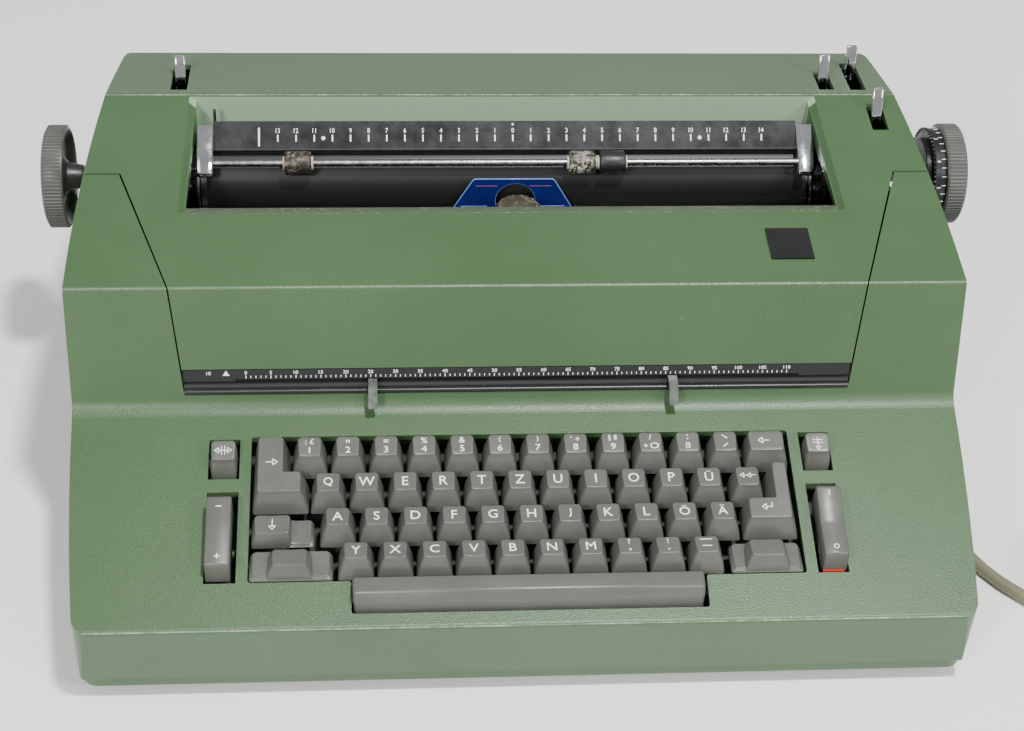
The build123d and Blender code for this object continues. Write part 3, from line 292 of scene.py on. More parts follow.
def rear_wall(s):
    """One on the face behind the paper opening, which painted light makes lighter, zero elsewhere."""
    x, y, z = s.axes()
    return s.math("MULTIPLY", s.math("GREATER_THAN", y, at(0, WALL_FRONT, 0).y),
                  s.math("LESS_THAN", y, at(0, WALL_BACK, 0).y), s.math("LESS_THAN", z, WALL_TOP * MM),
                  s.math("LESS_THAN", s.math("ABSOLUTE", x), WALL_HALF * MM))


def rear_deck(s):
    """Share of the painted shade, a duller tone, on the top behind the opening."""
    _, y, z = s.axes()
    return s.math("MULTIPLY", s.ramp(y, at(0, DECK_START, 0).y, at(0, DECK_FULL, 0).y, 0.0, 0.55),
                  s.ramp(z, DECK_LOW * MM, DECK_HIGH * MM))


def scuffs(s):
    """A few short pale scratches in the paint."""
    marks = []
    for start, end, half in SCUFFS:
        a, b = at(*start), at(*end)
        along = (b - a).normalized()
        offset = s.vector_math("SUBTRACT", {0: s.coord, 1: a}, "Vector")
        reach = s.vector_math("DOT_PRODUCT", {0: offset, 1: along}, "Value")
        held = s.node("ShaderNodeClamp", {0: reach, 1: 0.0, 2: (b - a).length}).outputs[0]
        foot = s.vector_math("SCALE", {0: along, "Scale": held}, "Vector")
        gap = s.vector_math("DISTANCE", {0: offset, 1: foot}, "Value")
        marks.append(s.ramp(gap, half * MM * 0.4, half * MM * 1.3, 0.8, 0.0))
    rough = s.ramp(s.noise(700.0, 3.0, 0.7), 0.4, 0.6, 0.2, 1.0)
    return s.math("MULTIPLY", s.math("MAXIMUM", *marks), rough)


def body_paint(name):
    """Sage green crinkle paint, bright in broken lines of paint wear and painted edge highlight along the
    creases, with painted light on the face behind the paper opening and painted shade on the top behind it.
    """
    s = Shade(name)
    base = linear(*PAINT["dark"])
    patch = s.ramp(s.noise(9.0, 5.0, 0.6), 0.35, 0.7)
    cloud = s.ramp(s.noise(2.3, 2.0), 0.35, 0.7, 0.0, 0.25)
    for share, tone in ((patch, "light"), (cloud, "cloud"), (rubbed(s), "worn_and_edge_highlight"), (rear_wall(s), "wall_light"),
                        (rear_deck(s), "deck_shade"), (scuffs(s), "scuff")):
        base = s.mix(share, base, linear(*PAINT[tone]))
    pebble = s.node("ShaderNodeTexVoronoi", {"Vector": s.coord, "Scale": 1700.0}, feature="SMOOTH_F1")
    fine = s.noise(3000.0, 2.0, 0.6)
    height = s.math("ADD", pebble.outputs["Distance"], s.math("MULTIPLY", fine, 0.6))
    s.set(Base_Color=base, Roughness=s.ramp(fine, 0.3, 0.7, 0.27, 0.41), Normal=s.bump(height, 0.36, 0.0003),
          Specular_IOR_Level=0.5)
    return s.material


def make_finishes():
    """The finish of every material slot, and those of details that have no slot of their own."""
    return {
        "body_green": body_paint("sage_crinkle_paint"),
        "pan_grey": plain("pan_paint", (66, 74, 66), 0.55, grain=0.3),
        "foot_rubber": plain("foot_rubber", (26, 26, 26), 0.8, grain=0.3),
        "steel": plain("ground_steel", (168, 168, 164), 0.28, 1.0, 0.1, 300.0, 0.1),
        "frame_zinc": plain("zinc_plate", (112, 112, 106), 0.42, 1.0, 0.2, 50.0, 0.15),
        "frame_black": plain("black_frame_paint", (22, 22, 24), 0.6, grain=0.2),
        "platen_rubber": mottled("platen_rubber", (26, 28, 28), (70, 74, 72), 900.0, 0.68),
        "roller_rubber": plain("bail_rubber", (30, 30, 30), 0.42, 0.0, 0.15, 200.0, 0.1),
        "knob_black": plain("knob_plastic", (78, 80, 75), 0.42, 0.0, 0.15, 80.0, 0.1),
        "scale_black": plain("scale_plastic", (20, 21, 23), 0.3, 0.0, 0.15, 90.0, 0.08),
        "chrome_strip": plain("chrome_plate", (205, 206, 206), 0.1, 1.0, 0.05, 120.0),
        "element_bronze": mottled("element_plate", (54, 50, 38), (124, 112, 84), 260.0, 0.5),
        "motor_grey": plain("motor_paint", (84, 86, 88), 0.5, grain=0.2),
        "belt_rubber": plain("belt_rubber", (22, 22, 22), 0.7, grain=0.2),
        "cord_olive": plain("lead_rubber", (112, 110, 86), 0.5, 0.0, 0.1, 90.0, 0.08),
        "plug_black": plain("plug_rubber", (32, 32, 33), 0.5, 0.0, 0.1, 120.0, 0.1),
        "key_grey": plain("key_plastic", (88, 89, 83), 0.33, 0.0, 0.07, 45.0, 0.1, 1400.0),
        "card_blue": card_plastic("card_plastic"),
        # Paler blue: painted highlight on the card holder's edges, and its printed lines
        "card_edge": plain("card_edge", (104, 128, 190), 0.2, 0.0, 0.1, 200.0),
        "legend_white": plain("legend_white", (250, 250, 246), 0.6, 0.0, 0.03, 300.0),
        "washer_cream": plain("washer_cream", (206, 198, 172), 0.5, 0.0, 0.12, 250.0),
        "roller_worn": mottled("worn_roller", (40, 37, 32), (128, 118, 100), 420.0, 0.5),
        "roller_pale": mottled("pale_roller", (30, 29, 27), (196, 190, 172), 520.0, 0.44),
        "rail_grey": mottled("rail_metal", (46, 48, 46), (98, 100, 94), 700.0, 0.62),
        "stop_steel": plain("stop_steel", (112, 116, 110), 0.32, 0.6, 0.2, 250.0, 0.1),
        "bevel_olive": mottled("worn_bevel", (70, 80, 64), (100, 108, 90), 300.0, 0.5),
        # Darker grey for the hollow of the left knob: painted shade
        "hub_grey": plain("hub_grey", (42, 43, 40), 0.4, 0.0, 0.1, 120.0),
        "print_red": plain("print_red", (112, 52, 110), 0.4, 0.0, 0.2, 500.0),
        "signal_red": plain("signal_red", (190, 48, 36), 0.25, 0.0, 0.08, 200.0),
    }


# CAD nodes whose finish isn't that of their slot
OWN_FINISH = {"bottom_pan": "body_green", "margin_rail": "rail_grey", "tilt_ring": "frame_black",
              "left_margin_stop": "stop_steel", "right_margin_stop": "stop_steel"}


def dress_cad():
    """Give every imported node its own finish, or else that of its material slot."""
    for entry in frame["record"]["subparts"]:
        mesh = nodes[entry["node"]].data
        mesh.materials.clear()
        mesh.materials.append(finish[OWN_FINISH.get(entry["node"], entry["material_slot"])])


# Mains lead: the same route as in the part's source, in millimetres
LEAD_RADIUS = 3.5
LEAD_ROUTE = [
    (150.0, 388.5, 24.0), (150.0, 428.0, 24.0), (172.0, 464.0, 6.5), (212.0, 473.0, 3.5),
    (246.0, 446.0, 3.5), (262.0, 398.0, 3.5), (259.5, 340.0, 3.5), (254.5, 262.0, 3.5),
    (246.2, 175.5, 3.5), (234.6, 90.4, 3.5),
]
LEAD_HEADING = Vector((0.685, -0.7286, 0)).normalized()
LAST_RUN = 78.0
COIL_OUTER = 50.0
COIL_PITCH = 7.7
HALF_TURNS_IN = 6
HALF_TURNS_OUT = 5
EXIT_RUN = 40.0
STEPS_PER_HALF_TURN = 9


def coil_points(start):
    """Half circles that spiral in on the floor, climb one layer and spiral out, then the run to the plug."""
    aside = Vector((LEAD_HEADING.y, -LEAD_HEADING.x, 0))
    entry = start + LEAD_HEADING * 2 * LEAD_RADIUS
    middle = entry - aside * COIL_OUTER
    # Control points stand a little outside the circle, so that the smooth line lies on it
    swell = 1.0 / math.cos(math.pi / STEPS_PER_HALF_TURN / 2) ** 0.75
    points = []
    offset, radius, height, sense = COIL_OUTER, COIL_OUTER, 0.0, 1
    for count in range(HALF_TURNS_IN + 1 + HALF_TURNS_OUT):
        rise = COIL_PITCH if count == HALF_TURNS_IN else 0.0
        centre = offset - sense * radius
        for step in range(STEPS_PER_HALF_TURN):
            angle = math.pi * (step + 0.5) / STEPS_PER_HALF_TURN
            along = math.sin(angle) * radius * swell * sense
            across = centre + sense * math.cos(angle) * radius * swell
            lift = height + rise * (1 - math.cos(angle)) / 2
            points.append(middle + LEAD_HEADING * along + aside * across + Vector((0, 0, lift)))
        offset = centre - sense * radius
        height += rise
        sense = -sense
        radius += COIL_PITCH / 2 if count >= HALF_TURNS_IN else -COIL_PITCH / 2
    out = middle + aside * offset + Vector((0, 0, height))
    points.append(out + LEAD_HEADING * 0.4 * EXIT_RUN)
    points.append(out + LEAD_HEADING * EXIT_RUN)
    return points


def make_lead():
    """The lead as one curve, from the strain relief along the side and through the coil to the plug."""
    start = Vector(LEAD_ROUTE[-1]) + LEAD_HEADING * LAST_RUN
    route = [Vector(p) for p in LEAD_ROUTE] + [start] + coil_points(start)
    curve = bpy.data.curves.new("mains_lead", "CURVE")
    curve.dimensions = "3D"
    curve.bevel_depth = LEAD_RADIUS * MM
    curve.bevel_resolution = 3
    curve.resolution_u = 6
    curve.use_fill_caps = True
    spline = curve.splines.new("NURBS")
    spline.points.add(len(route) - 1)
    for point, place in zip(spline.points, route):
        point.co = (*at(*place), 1.0)
    spline.order_u = 3
    spline.use_endpoint_u = True
    lead = link("mains_lead", curve)
    curve.materials.append(finish["cord_olive"])
    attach(lead, "housing")
    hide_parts("power_cord", "cord_coil")
    at(*LEAD_ROUTE[0])


# Mesh forms: points are x, depth behind the front edge and height, in millimetres
class Form:
    """A mesh under construction, with a finish for each face."""

    def __init__(self):
        self.points = []
        self.faces = []
        self.finish_of = []
        self.finishes = []
        self.current = 0

    def use(self, finish_name):
        if finish_name not in self.finishes:
            self.finishes.append(finish_name)
        self.current = self.finishes.index(finish_name)
        return self

    def ring(self, points):
        first = len(self.points)
        self.points.extend(tuple(p) for p in points)
        return list(range(first, len(self.points)))

    def face(self, corners):
        self.faces.append(corners)
        self.finish_of.append(self.current)

    def skin(self, low, high, closed=True):
        """Quads between two rings of the same count."""
        count = len(low)
        for i in range(count if closed else count - 1):
            j = (i + 1) % count
            self.face([low[i], low[j], high[j], high[i]])

    def tube(self, rings, close_ends=True):
        made = [self.ring(r) for r in rings]
        for low, high in zip(made, made[1:]):
            self.skin(low, high)
        if close_ends:
            self.face(made[0])
            self.face(made[-1])
        return made

    def lathe(self, profile, depth, height, segments=64):
        """Profile of (x, radius) pairs turned round an axis along X; a zero radius makes a pole."""
        rings = []
        for x, radius in profile:
            if radius == 0:
                rings.append(self.ring([(x, depth, height)]))
                continue
            rings.append(self.ring([(x, depth + d, height + z) for d, z in circle(radius, segments)]))
        for low, high in zip(rings, rings[1:]):
            if len(low) == 1 or len(high) == 1:
                pole, rim = (low, high) if len(low) == 1 else (high, low)
                for i in range(len(rim)):
                    self.face([pole[0], rim[i], rim[(i + 1) % len(rim)]])
            else:
                self.skin(low, high)

    def slab(self, outline, x0, x1, round_off=0.0):
        """Side outline of (depth, height) pairs between two x values, its long edges rounded off."""
        if not round_off:
            self.tube([[(x, d, z) for d, z in outline] for x in (x0, x1)])
            return
        middle_d = sum(p[0] for p in outline) / len(outline)
        middle_z = sum(p[1] for p in outline) / len(outline)
        rings = []
        for x, share in both_ends(x0, x1, (0.0, 1.0), (round_off * 0.3, 0.4), (round_off, 0.0)):
            ring = []
            for d, z in outline:
                reach = math.hypot(d - middle_d, z - middle_z)
                keep = 1 - share * round_off / reach
                ring.append((x, middle_d + (d - middle_d) * keep, middle_z + (z - middle_z) * keep))
            rings.append(ring)
        self.tube(rings)

    def bar(self, section, ends):
        """Section of (depth, height) vectors along X; ends says how far it is drawn in at which x."""
        self.tube([[(x, p.x, p.y) for p in inward(section, draw)] for x, draw in ends])

    def piece(self, name, body, slot, *replaced, smooth=35.0):
        """Make the object, ride it on its body and hide the CAD nodes it stands for."""
        mesh = bpy.data.meshes.new(name)
        mesh.from_pydata([at(*p) for p in self.points], [], self.faces)
        for finish_name in self.finishes:
            mesh.materials.append(finish[finish_name])
        mesh.polygons.foreach_set("material_index", self.finish_of)
        work = bmesh.new()
        work.from_mesh(mesh)
        bmesh.ops.recalc_face_normals(work, faces=work.faces)
        work.to_mesh(mesh)
        work.free()
        mesh.shade_smooth()
        mesh.set_sharp_from_angle(angle=math.radians(smooth))
        return settle(link(name, mesh), body, slot, replaced)


def circle(radius, count):
    """Points of (across, up) round a circle."""
    turns = [math.tau * i / count for i in range(count)]
    return [(radius * math.cos(a), radius * math.sin(a)) for a in turns]


def both_ends(x0, x1, *steps):
    """Steps of (distance from the end, value) at one end of a bar and mirrored at the other."""
    near = [(x0 + along, value) for along, value in steps]
    return near + [(x1 - along, value) for along, value in steps[::-1]]


def rectangle(x0, x1, y0, y1):
    return [(x0, y0), (x1, y0), (x1, y1), (x0, y1)]


def rounded_polygon(corners, radii, arc_steps=4, run_steps=3):
    """Flat outline with rounded corners, and extra points along its straight runs."""
    count = len(corners)
    arcs = []
    for i, corner in enumerate(corners):
        here = Vector(corner)
        to_last = Vector(corners[i - 1]) - here
        to_next = Vector(corners[(i + 1) % count]) - here
        half_angle = to_last.angle(to_next) / 2
        reach = radii[i] / math.tan(half_angle)
        start = here + to_last.normalized() * reach
        end = here + to_next.normalized() * reach
        halfway = (to_last.normalized() + to_next.normalized()).normalized()
        centre = here + halfway * radii[i] / math.sin(half_angle)
        first = start - centre
        turn = -first.angle_signed(end - centre)
        arcs.append([centre + Matrix.Rotation(turn * s / arc_steps, 2) @ first for s in range(arc_steps + 1)])
    outline = []
    for i, arc in enumerate(arcs):
        outline.extend(arc)
        after = arcs[(i + 1) % count][0]
        outline.extend(arc[-1].lerp(after, s / (run_steps + 1)) for s in range(1, run_steps + 1))
    return outline


def inward(outline, distance):
    """The outline drawn in by a distance, point by point."""
    drawn = []
    count = len(outline)
    for i, point in enumerate(outline):
        along = (outline[(i + 1) % count] - outline[i - 1]).normalized()
        drawn.append(point + Vector((-along.y, along.x)) * distance)
    return drawn


class Top:
    """Tilted top plane of a key: a flat frame that starts at its front edge and may be dished across."""

    def __init__(self, edge, tilt, middle=0.0, half=1.0, dish=0.0):
        self.edge = edge
        self.run = (math.cos(math.radians(tilt)), math.sin(math.radians(tilt)))
        self.middle, self.half, self.dish = middle, half, dish

    def point(self, x, back, lift=0.0):
        hollow = self.dish * (1 - min(1.0, abs(x - self.middle) / self.half) ** 2)
        rise = lift - hollow
        return (x, self.edge[0] + back * self.run[0] - rise * self.run[1],
                self.edge[1] + back * self.run[1] + rise * self.run[0])


# Swell of a key cap's sides, and radius of the rolled edge round its top
SIDE_SWELL = 0.55
RIM = 0.55


def cap_form(form, low, low_height, high, top, rim=RIM):
    """Key cap: a foot outline, swelled sides that draw in to a rolled rim, and the top on its plane.

    low and high are outlines of the same count; low is (x, depth), high is (x, distance up the top).
    low_height gives the height of a foot point from its depth.
    """
    foot = [(p.x, p.y, low_height(p.y)) for p in low]
    shoulder = [top.point(p.x, p.y, -rim) for p in high]
    rings = [foot]
    for share in (0.12, 0.35, 0.6, 0.82):
        bulge = SIDE_SWELL * math.sin(math.pi * share)
        ring = []
        for a, b, c in zip(foot, shoulder, inward(low, -bulge)):
            x = a[0] + (b[0] - a[0]) * share + (c.x - a[0])
            ring.append((x, a[1] + (b[1] - a[1]) * share + (c.y - a[1]), a[2] + (b[2] - a[2]) * share))
        rings.append(ring)
    rings.append(shoulder)
    for angle in (30, 60, 90):
        drawn = rim * (1 - math.cos(math.radians(angle)))
        rise = rim * math.sin(math.radians(angle)) - rim
        rings.append([top.point(p.x, p.y, rise) for p in inward(high, drawn)])
    made = form.tube(rings, close_ends=False)
    form.face(made[0])
    last = made[-1]
    if top.dish:
        inner = inward(high, rim)
        middle = sum(inner, Vector((0, 0))) / len(inner)
        steps = [[middle.lerp(p, share) for p in inner] for share in (0.72, 0.4)]
    else:
        steps = [inward(high, rim + 0.3)]
    for outline in steps:
        step = form.ring([top.point(p.x, p.y) for p in outline])
        form.skin(last, step)
        last = step
    form.face(last)


# Lettering that was made before, by its text
outlines = {}
# Letters and lines are lifted off their face by this much
MARK_LIFT = 0.05


def text_outline(text):
    """Points, faces and size of a thin mesh of a text, centred on its own middle."""
    if text not in outlines:
        curve = bpy.data.curves.new("lettering", "FONT")
        curve.body = text
        curve.resolution_u = 3
        curve.extrude = 0.02
        holder = link("lettering", curve)
        mesh = mesh_of(holder)
        points = [v.co.copy() for v in mesh.vertices]
        low = Vector([min(p[i] for p in points) for i in range(3)])
        high = Vector([max(p[i] for p in points) for i in range(3)])
        middle = (low + high) / 2
        outlines[text] = ([p - middle for p in points], [list(f.vertices) for f in mesh.polygons], high - low)
        bpy.data.objects.remove(holder)
        bpy.data.curves.remove(curve)
        bpy.data.meshes.remove(mesh)
    return outlines[text]


def letter(form, text, place, tall, stretch=1.0, thick=0.16):
    """Raised lettering: place turns (across, up, lift) round the text's middle into a point."""
    points, faces, size = text_outline(text)
    scale = tall / size.y
    first = len(form.points)
    for p in points:
        lift = math.copysign(thick / 2, p.z) + MARK_LIFT
        form.points.append(place(p.x * scale * stretch, p.y * scale, lift))
    for corners in faces:
        form.face([first + c for c in corners])


def stroke(form, place, path, width, closed=False, thick=0.16):
    """Line of even width along a path of (across, up) points."""
    pairs = list(zip(path, path[1:]))
    if closed:
        pairs.append((path[-1], path[0]))
    for start, end in pairs:
        a, b = Vector(start), Vector(end)
        along = (b - a).normalized() * width / 2
        side = Vector((-along.y, along.x))
        outline = [b - side, b + along, b + side, a + side, a - along, a - side]
        form.tube([[place(p.x, p.y, lift) for p in outline] for lift in (-thick / 2, thick / 2 + MARK_LIFT)])


# Keyboard: the rows stand where the part's source has them, their caps a little further apart
KEY_FOOT = (17.7, 18.0)
KEY_TOP = (10.9, 11.6)
KEY_HEIGHT = 12.5
FRONT_RUN = 3.3
KEY_PITCH = 19.05
STEM_HALF = (1.2, 2.5)
STEM_REACH = 13.0
# First cap, spread pitch of the caps, first stem, front edge of the top as (depth, height) and its tilt
ROWS = {
    "number": dict(first=-108.0, pitch=19.2, stems=-107.0, edge=(85.4, 84.9), tilt=16.0),
    "q": dict(first=-98.6, pitch=19.15, stems=-98.5, edge=(66.3, 79.0), tilt=9.0),
    "a": dict(first=-93.8, pitch=19.15, stems=-93.7, edge=(47.3, 74.4), tilt=3.0),
    "z": dict(first=-84.9, pitch=19.16, stems=-84.2, edge=(28.4, 70.6), tilt=-3.0),
}
LEGENDS = {
    "number": ["1", "2", "3", "4", "5", "6", "7", "8", "9", "0", "ß", "´"],
    "q": list("QWERTZUIOPÜ"),
    "a": list("ASDFGHJKLÖÄ"),
    "z": list("YXCVBNM,.-"),
}
UPPER = {
    "1": "; £", "2": "\"", "3": "=", "4": "%", "5": "&", "6": "(", "7": ")", "8": "' +", "9": "§ $",
    "ß": ":", ",": "?", ".": "!",
}


def row_base(row):
    """Front, back and height of the feet of a row's keys."""
    depth, height = ROWS[row]["edge"]
    return depth - FRONT_RUN, depth - FRONT_RUN + KEY_FOOT[1], height - KEY_HEIGHT


def key_cap(form, foot_x, front, back, base_z, top_x, edge, tilt, length=KEY_TOP[1], dish=0.4):
    """Four-sided key cap; its rear corners are rounder than its front ones. Returns its top."""
    low = rounded_polygon(rectangle(*foot_x, front, back), (1.3, 1.3, 3.2, 3.2))
    high = rounded_polygon([(top_x[0], 0), (top_x[1], 0), (top_x[1] + 0.5, length), (top_x[0] - 0.5, length)],
                           (1.5, 1.5, 2.3, 2.3))
    top = Top(edge, tilt, (top_x[0] + top_x[1]) / 2, (top_x[1] - top_x[0]) / 2, dish)
    cap_form(form, low, lambda depth: base_z, high, top)
    return top


def stem(form, x, depth, base_z):
    """Tapered stem below a key, down into the keyboard frame."""
    half_x, half_d = STEM_HALF
    corners = rectangle(x - half_x, x + half_x, depth - half_d, depth + half_d)
    outline = rounded_polygon(corners, (0.3,) * 4, 1, 0)
    foot = base_z - STEM_REACH
    form.tube([[(x + (p.x - x) * share, p.y, height) for p in outline]
               for share, height in ((0.8, foot), (1.0, foot + 1.0), (1.0, base_z + 0.4))])


def on_top(top, x, back):
    """Turns (across, up, lift) round a spot of a key's top into a point."""
    return lambda across, up, lift: top.point(x + across, back + up, lift)


def make_rows():
    """The four rows of character keys with their legends."""
    for row, spec in ROWS.items():
        form = Form()
        front, back, base_z = row_base(row)
        for index, legend in enumerate(LEGENDS[row]):
            x = spec["first"] + index * spec["pitch"]
            form.use("key_grey")
            top = key_cap(form, (x - KEY_FOOT[0] / 2, x + KEY_FOOT[0] / 2), front, back, base_z,
                          (x - KEY_TOP[0] / 2, x + KEY_TOP[0] / 2), spec["edge"], spec["tilt"])
            stem(form, spec["stems"] + index * KEY_PITCH, (front + back) / 2, base_z)
            form.use("legend_white")
            key_legend(form, top, x, legend)
        form.piece(row + "_row_caps", row + "_row", "key_grey", row + "_row_keys")


# Legends of the keys: how far up the top, and how tall
SINGLE_AT, SINGLE_TALL = 5.9, 5.4
UMLAUT_AT, UMLAUT_TALL = 6.3, 6.4
LOWER_AT, LOWER_TALL = 3.7, 3.5
UPPER_AT, UPPER_TALL = 8.6, 3.3
UPPER_OWN_TALL = {"=": 1.5, ":": 2.8, "\"": 1.8, "; £": 3.4, "' +": 2.7, "§ $": 3.5}
DOT_AT, DOT_TALL = 2.8, {",": 1.7, ".": 0.8}


def key_legend(form, top, x, legend):
    """One letter, or a sign above another."""
    if legend == "´":
        stroke(form, on_top(top, x, UPPER_AT), [(-1.3, 0.9), (1.1, -0.9)], 0.5)
        stroke(form, on_top(top, x, 3.6), [(-1.1, -0.9), (1.2, 0.8)], 0.5)
    elif legend == "-":
        stroke(form, on_top(top, x, 9.2), [(-3.0, 0.0), (3.0, 0.0)], 0.45)
        stroke(form, on_top(top, x, 4.6), [(-2.2, 0.0), (2.2, 0.0)], 0.5)
    elif legend == "0":
        letter(form, "O", on_top(top, x + 1.9, LOWER_AT), 3.4, 1.25)
        letter(form, "+", on_top(top, x - 2.6, LOWER_AT), 2.1)
        letter(form, "/", on_top(top, x, 8.9), UPPER_TALL)
    elif legend in "ÖÄÜ":
        letter(form, legend, on_top(top, x, UMLAUT_AT), UMLAUT_TALL, 0.96)
    elif legend not in UPPER:
        letter(form, legend, on_top(top, x, SINGLE_AT), SINGLE_TALL, 0.96)
    else:
        place = DOT_AT if legend in DOT_TALL else LOWER_AT
        letter(form, legend, on_top(top, x, place), DOT_TALL.get(legend, LOWER_TALL), 1.15)
        upper = UPPER[legend]
        letter(form, upper, on_top(top, x, UPPER_AT), UPPER_OWN_TALL.get(upper, UPPER_TALL), 1.05)


# Stem of each key over two rows, as (x, depth), by its lower row
TWO_ROW_STEM = {"q": (-126.0, 82.0), "a": (128.0, 62.0)}


def open_arrow(form, place, tail, head, width=0.42):
    """Arrow with an open triangular head at the origin; tail and head are lengths, pointing to -across."""
    stroke(form, place, [(-head, 0.0), (0.0, head * 0.72), (0.0, -head * 0.72)], width, closed=True)
    if tail:
        stroke(form, place, [(0.0, 0.0), (tail, 0.0)], width)


def two_row_cap(form, low_row, high_row, wide, narrow, tilt=17.0, rise=3.0):
    """L-shaped cap over two rows; the top is one plane. wide and narrow each hold a foot and a top span."""
    front, step, base_z = row_base(low_row)
    back = row_base(high_row)[1]
    edge = ROWS[low_row]["edge"]
    slope = math.radians(ROWS[high_row]["tilt"])
    run = (ROWS[high_row]["edge"][0] + KEY_TOP[1] * math.cos(slope) - edge[0]) / math.cos(math.radians(tilt))
    notch_right = narrow[0][1] < wide[0][1]

    def outline(part, near, step, far, front_radius, radius):
        (wide_left, wide_right), (narrow_left, narrow_right) = wide[part], narrow[part]
        if notch_right:
            corners = [(wide_left, near), (wide_right, near), (wide_right, step), (narrow_right, step),
                       (narrow_right, far), (narrow_left, far)]
            return rounded_polygon(corners, (front_radius, front_radius, radius, 0.5, radius, radius))
        corners = [(wide_left, near), (wide_right, near), (narrow_right, far), (narrow_left, far),
                   (narrow_left, step), (wide_left, step)]
        return rounded_polygon(corners, (front_radius, front_radius, radius, radius, 0.5, radius))

    low = outline(0, front, step, back, 1.3, 2.0)
    high = outline(1, 0.0, KEY_TOP[1], run, 1.4, 1.8)
    top = Top(edge, tilt)
    climb = rise / (back - front)
    cap_form(form, low, lambda depth: base_z + (depth - front) * climb, high, top)
    stem(form, *TWO_ROW_STEM[low_row], base_z + rise)
    return top


def make_left_keys():
    """Tab over two rows, stepped shift lock and winged left shift."""
    form = Form().use("key_grey")
    top = two_row_cap(form, "q", "number", wide=((-136.3, -108.3), (-133.6, -112.2)),
                      narrow=((-136.3, -117.6), (-133.6, -121.0)))
    form.use("legend_white")
    back = on_top(top, -127.2, 17.0)
    open_arrow(form, lambda a, u, t: back(-a + 1.0, u, t), 3.4, 2.3)
    form.piece("tab_cap", "tab_key_body", "key_grey", "tab_key")

    form = Form().use("key_grey")
    front, back, base_z = row_base("a")
    top = key_cap(form, (-136.3, -116.9), front, back, base_z, (-134.3, -117.6), (45.4, 71.2),
                  tilt=3.0, length=12.2)
    key_cap(form, (-119.5, -105.6), front + 0.4, back - 0.3, base_z, (-118.6, -107.0), (45.4, 63.6),
            tilt=12.0, length=14.2, dish=0.9)
    stem(form, -121.0, 53.0, base_z)
    form.use("legend_white")
    down = on_top(top, -125.9, 5.0)
    open_arrow(form, lambda a, u, t: down(u, a, t), 4.4, 2.2)
    form.piece("shift_lock_cap", "shift_lock_key_body", "key_grey", "shift_lock_key")
    make_shift("left_shift", (-136.9, -96.2), (-125.4, -109.0), (27.8, 67.0), -116.55)


def make_shift(name, foot_x, top_x, edge, stem_x):
    """Wide shift key: a raised middle between two low wings that rise to the back."""
    front, back, base_z = row_base("z")
    form = Form().use("key_grey")
    key_cap(form, foot_x, front, back, base_z, (foot_x[0] + 1.6, foot_x[1] - 1.6),
            (front + 0.9, base_z + 2.2), tilt=11.0, length=15.0, dish=0.0)
    key_cap(form, (top_x[0] - 3.4, top_x[1] + 3.4), front + 0.2, back - 0.6, base_z + 1.0, top_x, edge,
            tilt=ROWS["z"]["tilt"])
    stem(form, stem_x, (front + back) / 2, base_z)
    form.piece(name + "_cap", name + "_key_body", "key_grey", name + "_key")


def make_right_keys():
    """Backspace, fast backspace, return over two rows and right shift."""
    spec = ROWS["number"]
    front, back, base_z = row_base("number")
    form = Form().use("key_grey")
    top = key_cap(form, (113.6, 135.8), front, back, base_z, (115.8, 133.0), spec["edge"], spec["tilt"])
    stem(form, 124.2, 91.0, base_z)
    form.use("legend_white")
    open_arrow(form, on_top(top, 122.6, 6.0), 3.4, 2.3)
    form.piece("backspace_cap", "backspace_key_body", "key_grey", "backspace_key")

    spec = ROWS["q"]
    front, back, base_z = row_base("q")
    x = 112.6
    form = Form().use("key_grey")
    top = key_cap(form, (x - 8.7, x + 8.7), front, back, base_z, (x - 5.4, x + 5.4), spec["edge"],
                  spec["tilt"])
    stem(form, 111.6, (front + back) / 2, base_z)
    form.use("legend_white")
    open_arrow(form, on_top(top, x - 1.9, 6.3), 1.2, 1.9, 0.36)
    open_arrow(form, on_top(top, x + 1.6, 6.3), 2.4, 1.9, 0.36)
    form.piece("fast_backspace_cap", "express_backspace_key_body", "key_grey", "express_backspace_key")

    form = Form().use("key_grey")
    top = two_row_cap(form, "a", "q", wide=((108.1, 135.7), (111.1, 132.2)),
                      narrow=((121.6, 135.7), (125.2, 132.2)))
    form.use("legend_white")
    place = on_top(top, 119.6, 6.2)
    open_arrow(form, place, 0.0, 2.2)
    stroke(form, place, [(0.0, 0.0), (3.0, 0.0), (3.0, 2.2)], 0.42)
    form.piece("return_cap", "return_key_body", "key_grey", "return_key")
    make_shift("right_shift", (99.9, 136.0), (109.8, 126.0), (28.0, 68.0), 117.6)


def make_space_bar():
    """Space bar with rolled edges, drawn in at its ends."""
    section = rounded_polygon([(24.0, 52.0), (22.0, 64.3), (13.3, 62.8), (10.4, 58.5), (8.9, 50.0)],
                              (0.4, 1.3, 2.4, 3.0, 0.4), 4, 1)
    form = Form().use("key_grey")
    rings = []
    for x, draw in both_ends(-86.8, 85.2, (0.0, 1.5), (0.4, 0.6), (1.6, 0.0)):
        lean = math.copysign(0.072, -x)
        rings.append([(x + lean * (64.3 - p.y), p.x, p.y) for p in inward(section, draw)])
    form.tube(rings)
    for x in (-60.0, 60.0):
        stem(form, x, 17.0, 52.0)
    form.piece("space_bar_cap", "space_bar_body", "key_grey", "space_bar", smooth=50)


BUTTON_X = 151.0
ROCKER_X = 151.8
ROCKER_HALF = 6.1
ROCKER_PIN = (46.0, 56.0)
PIN_HALF = 8.2


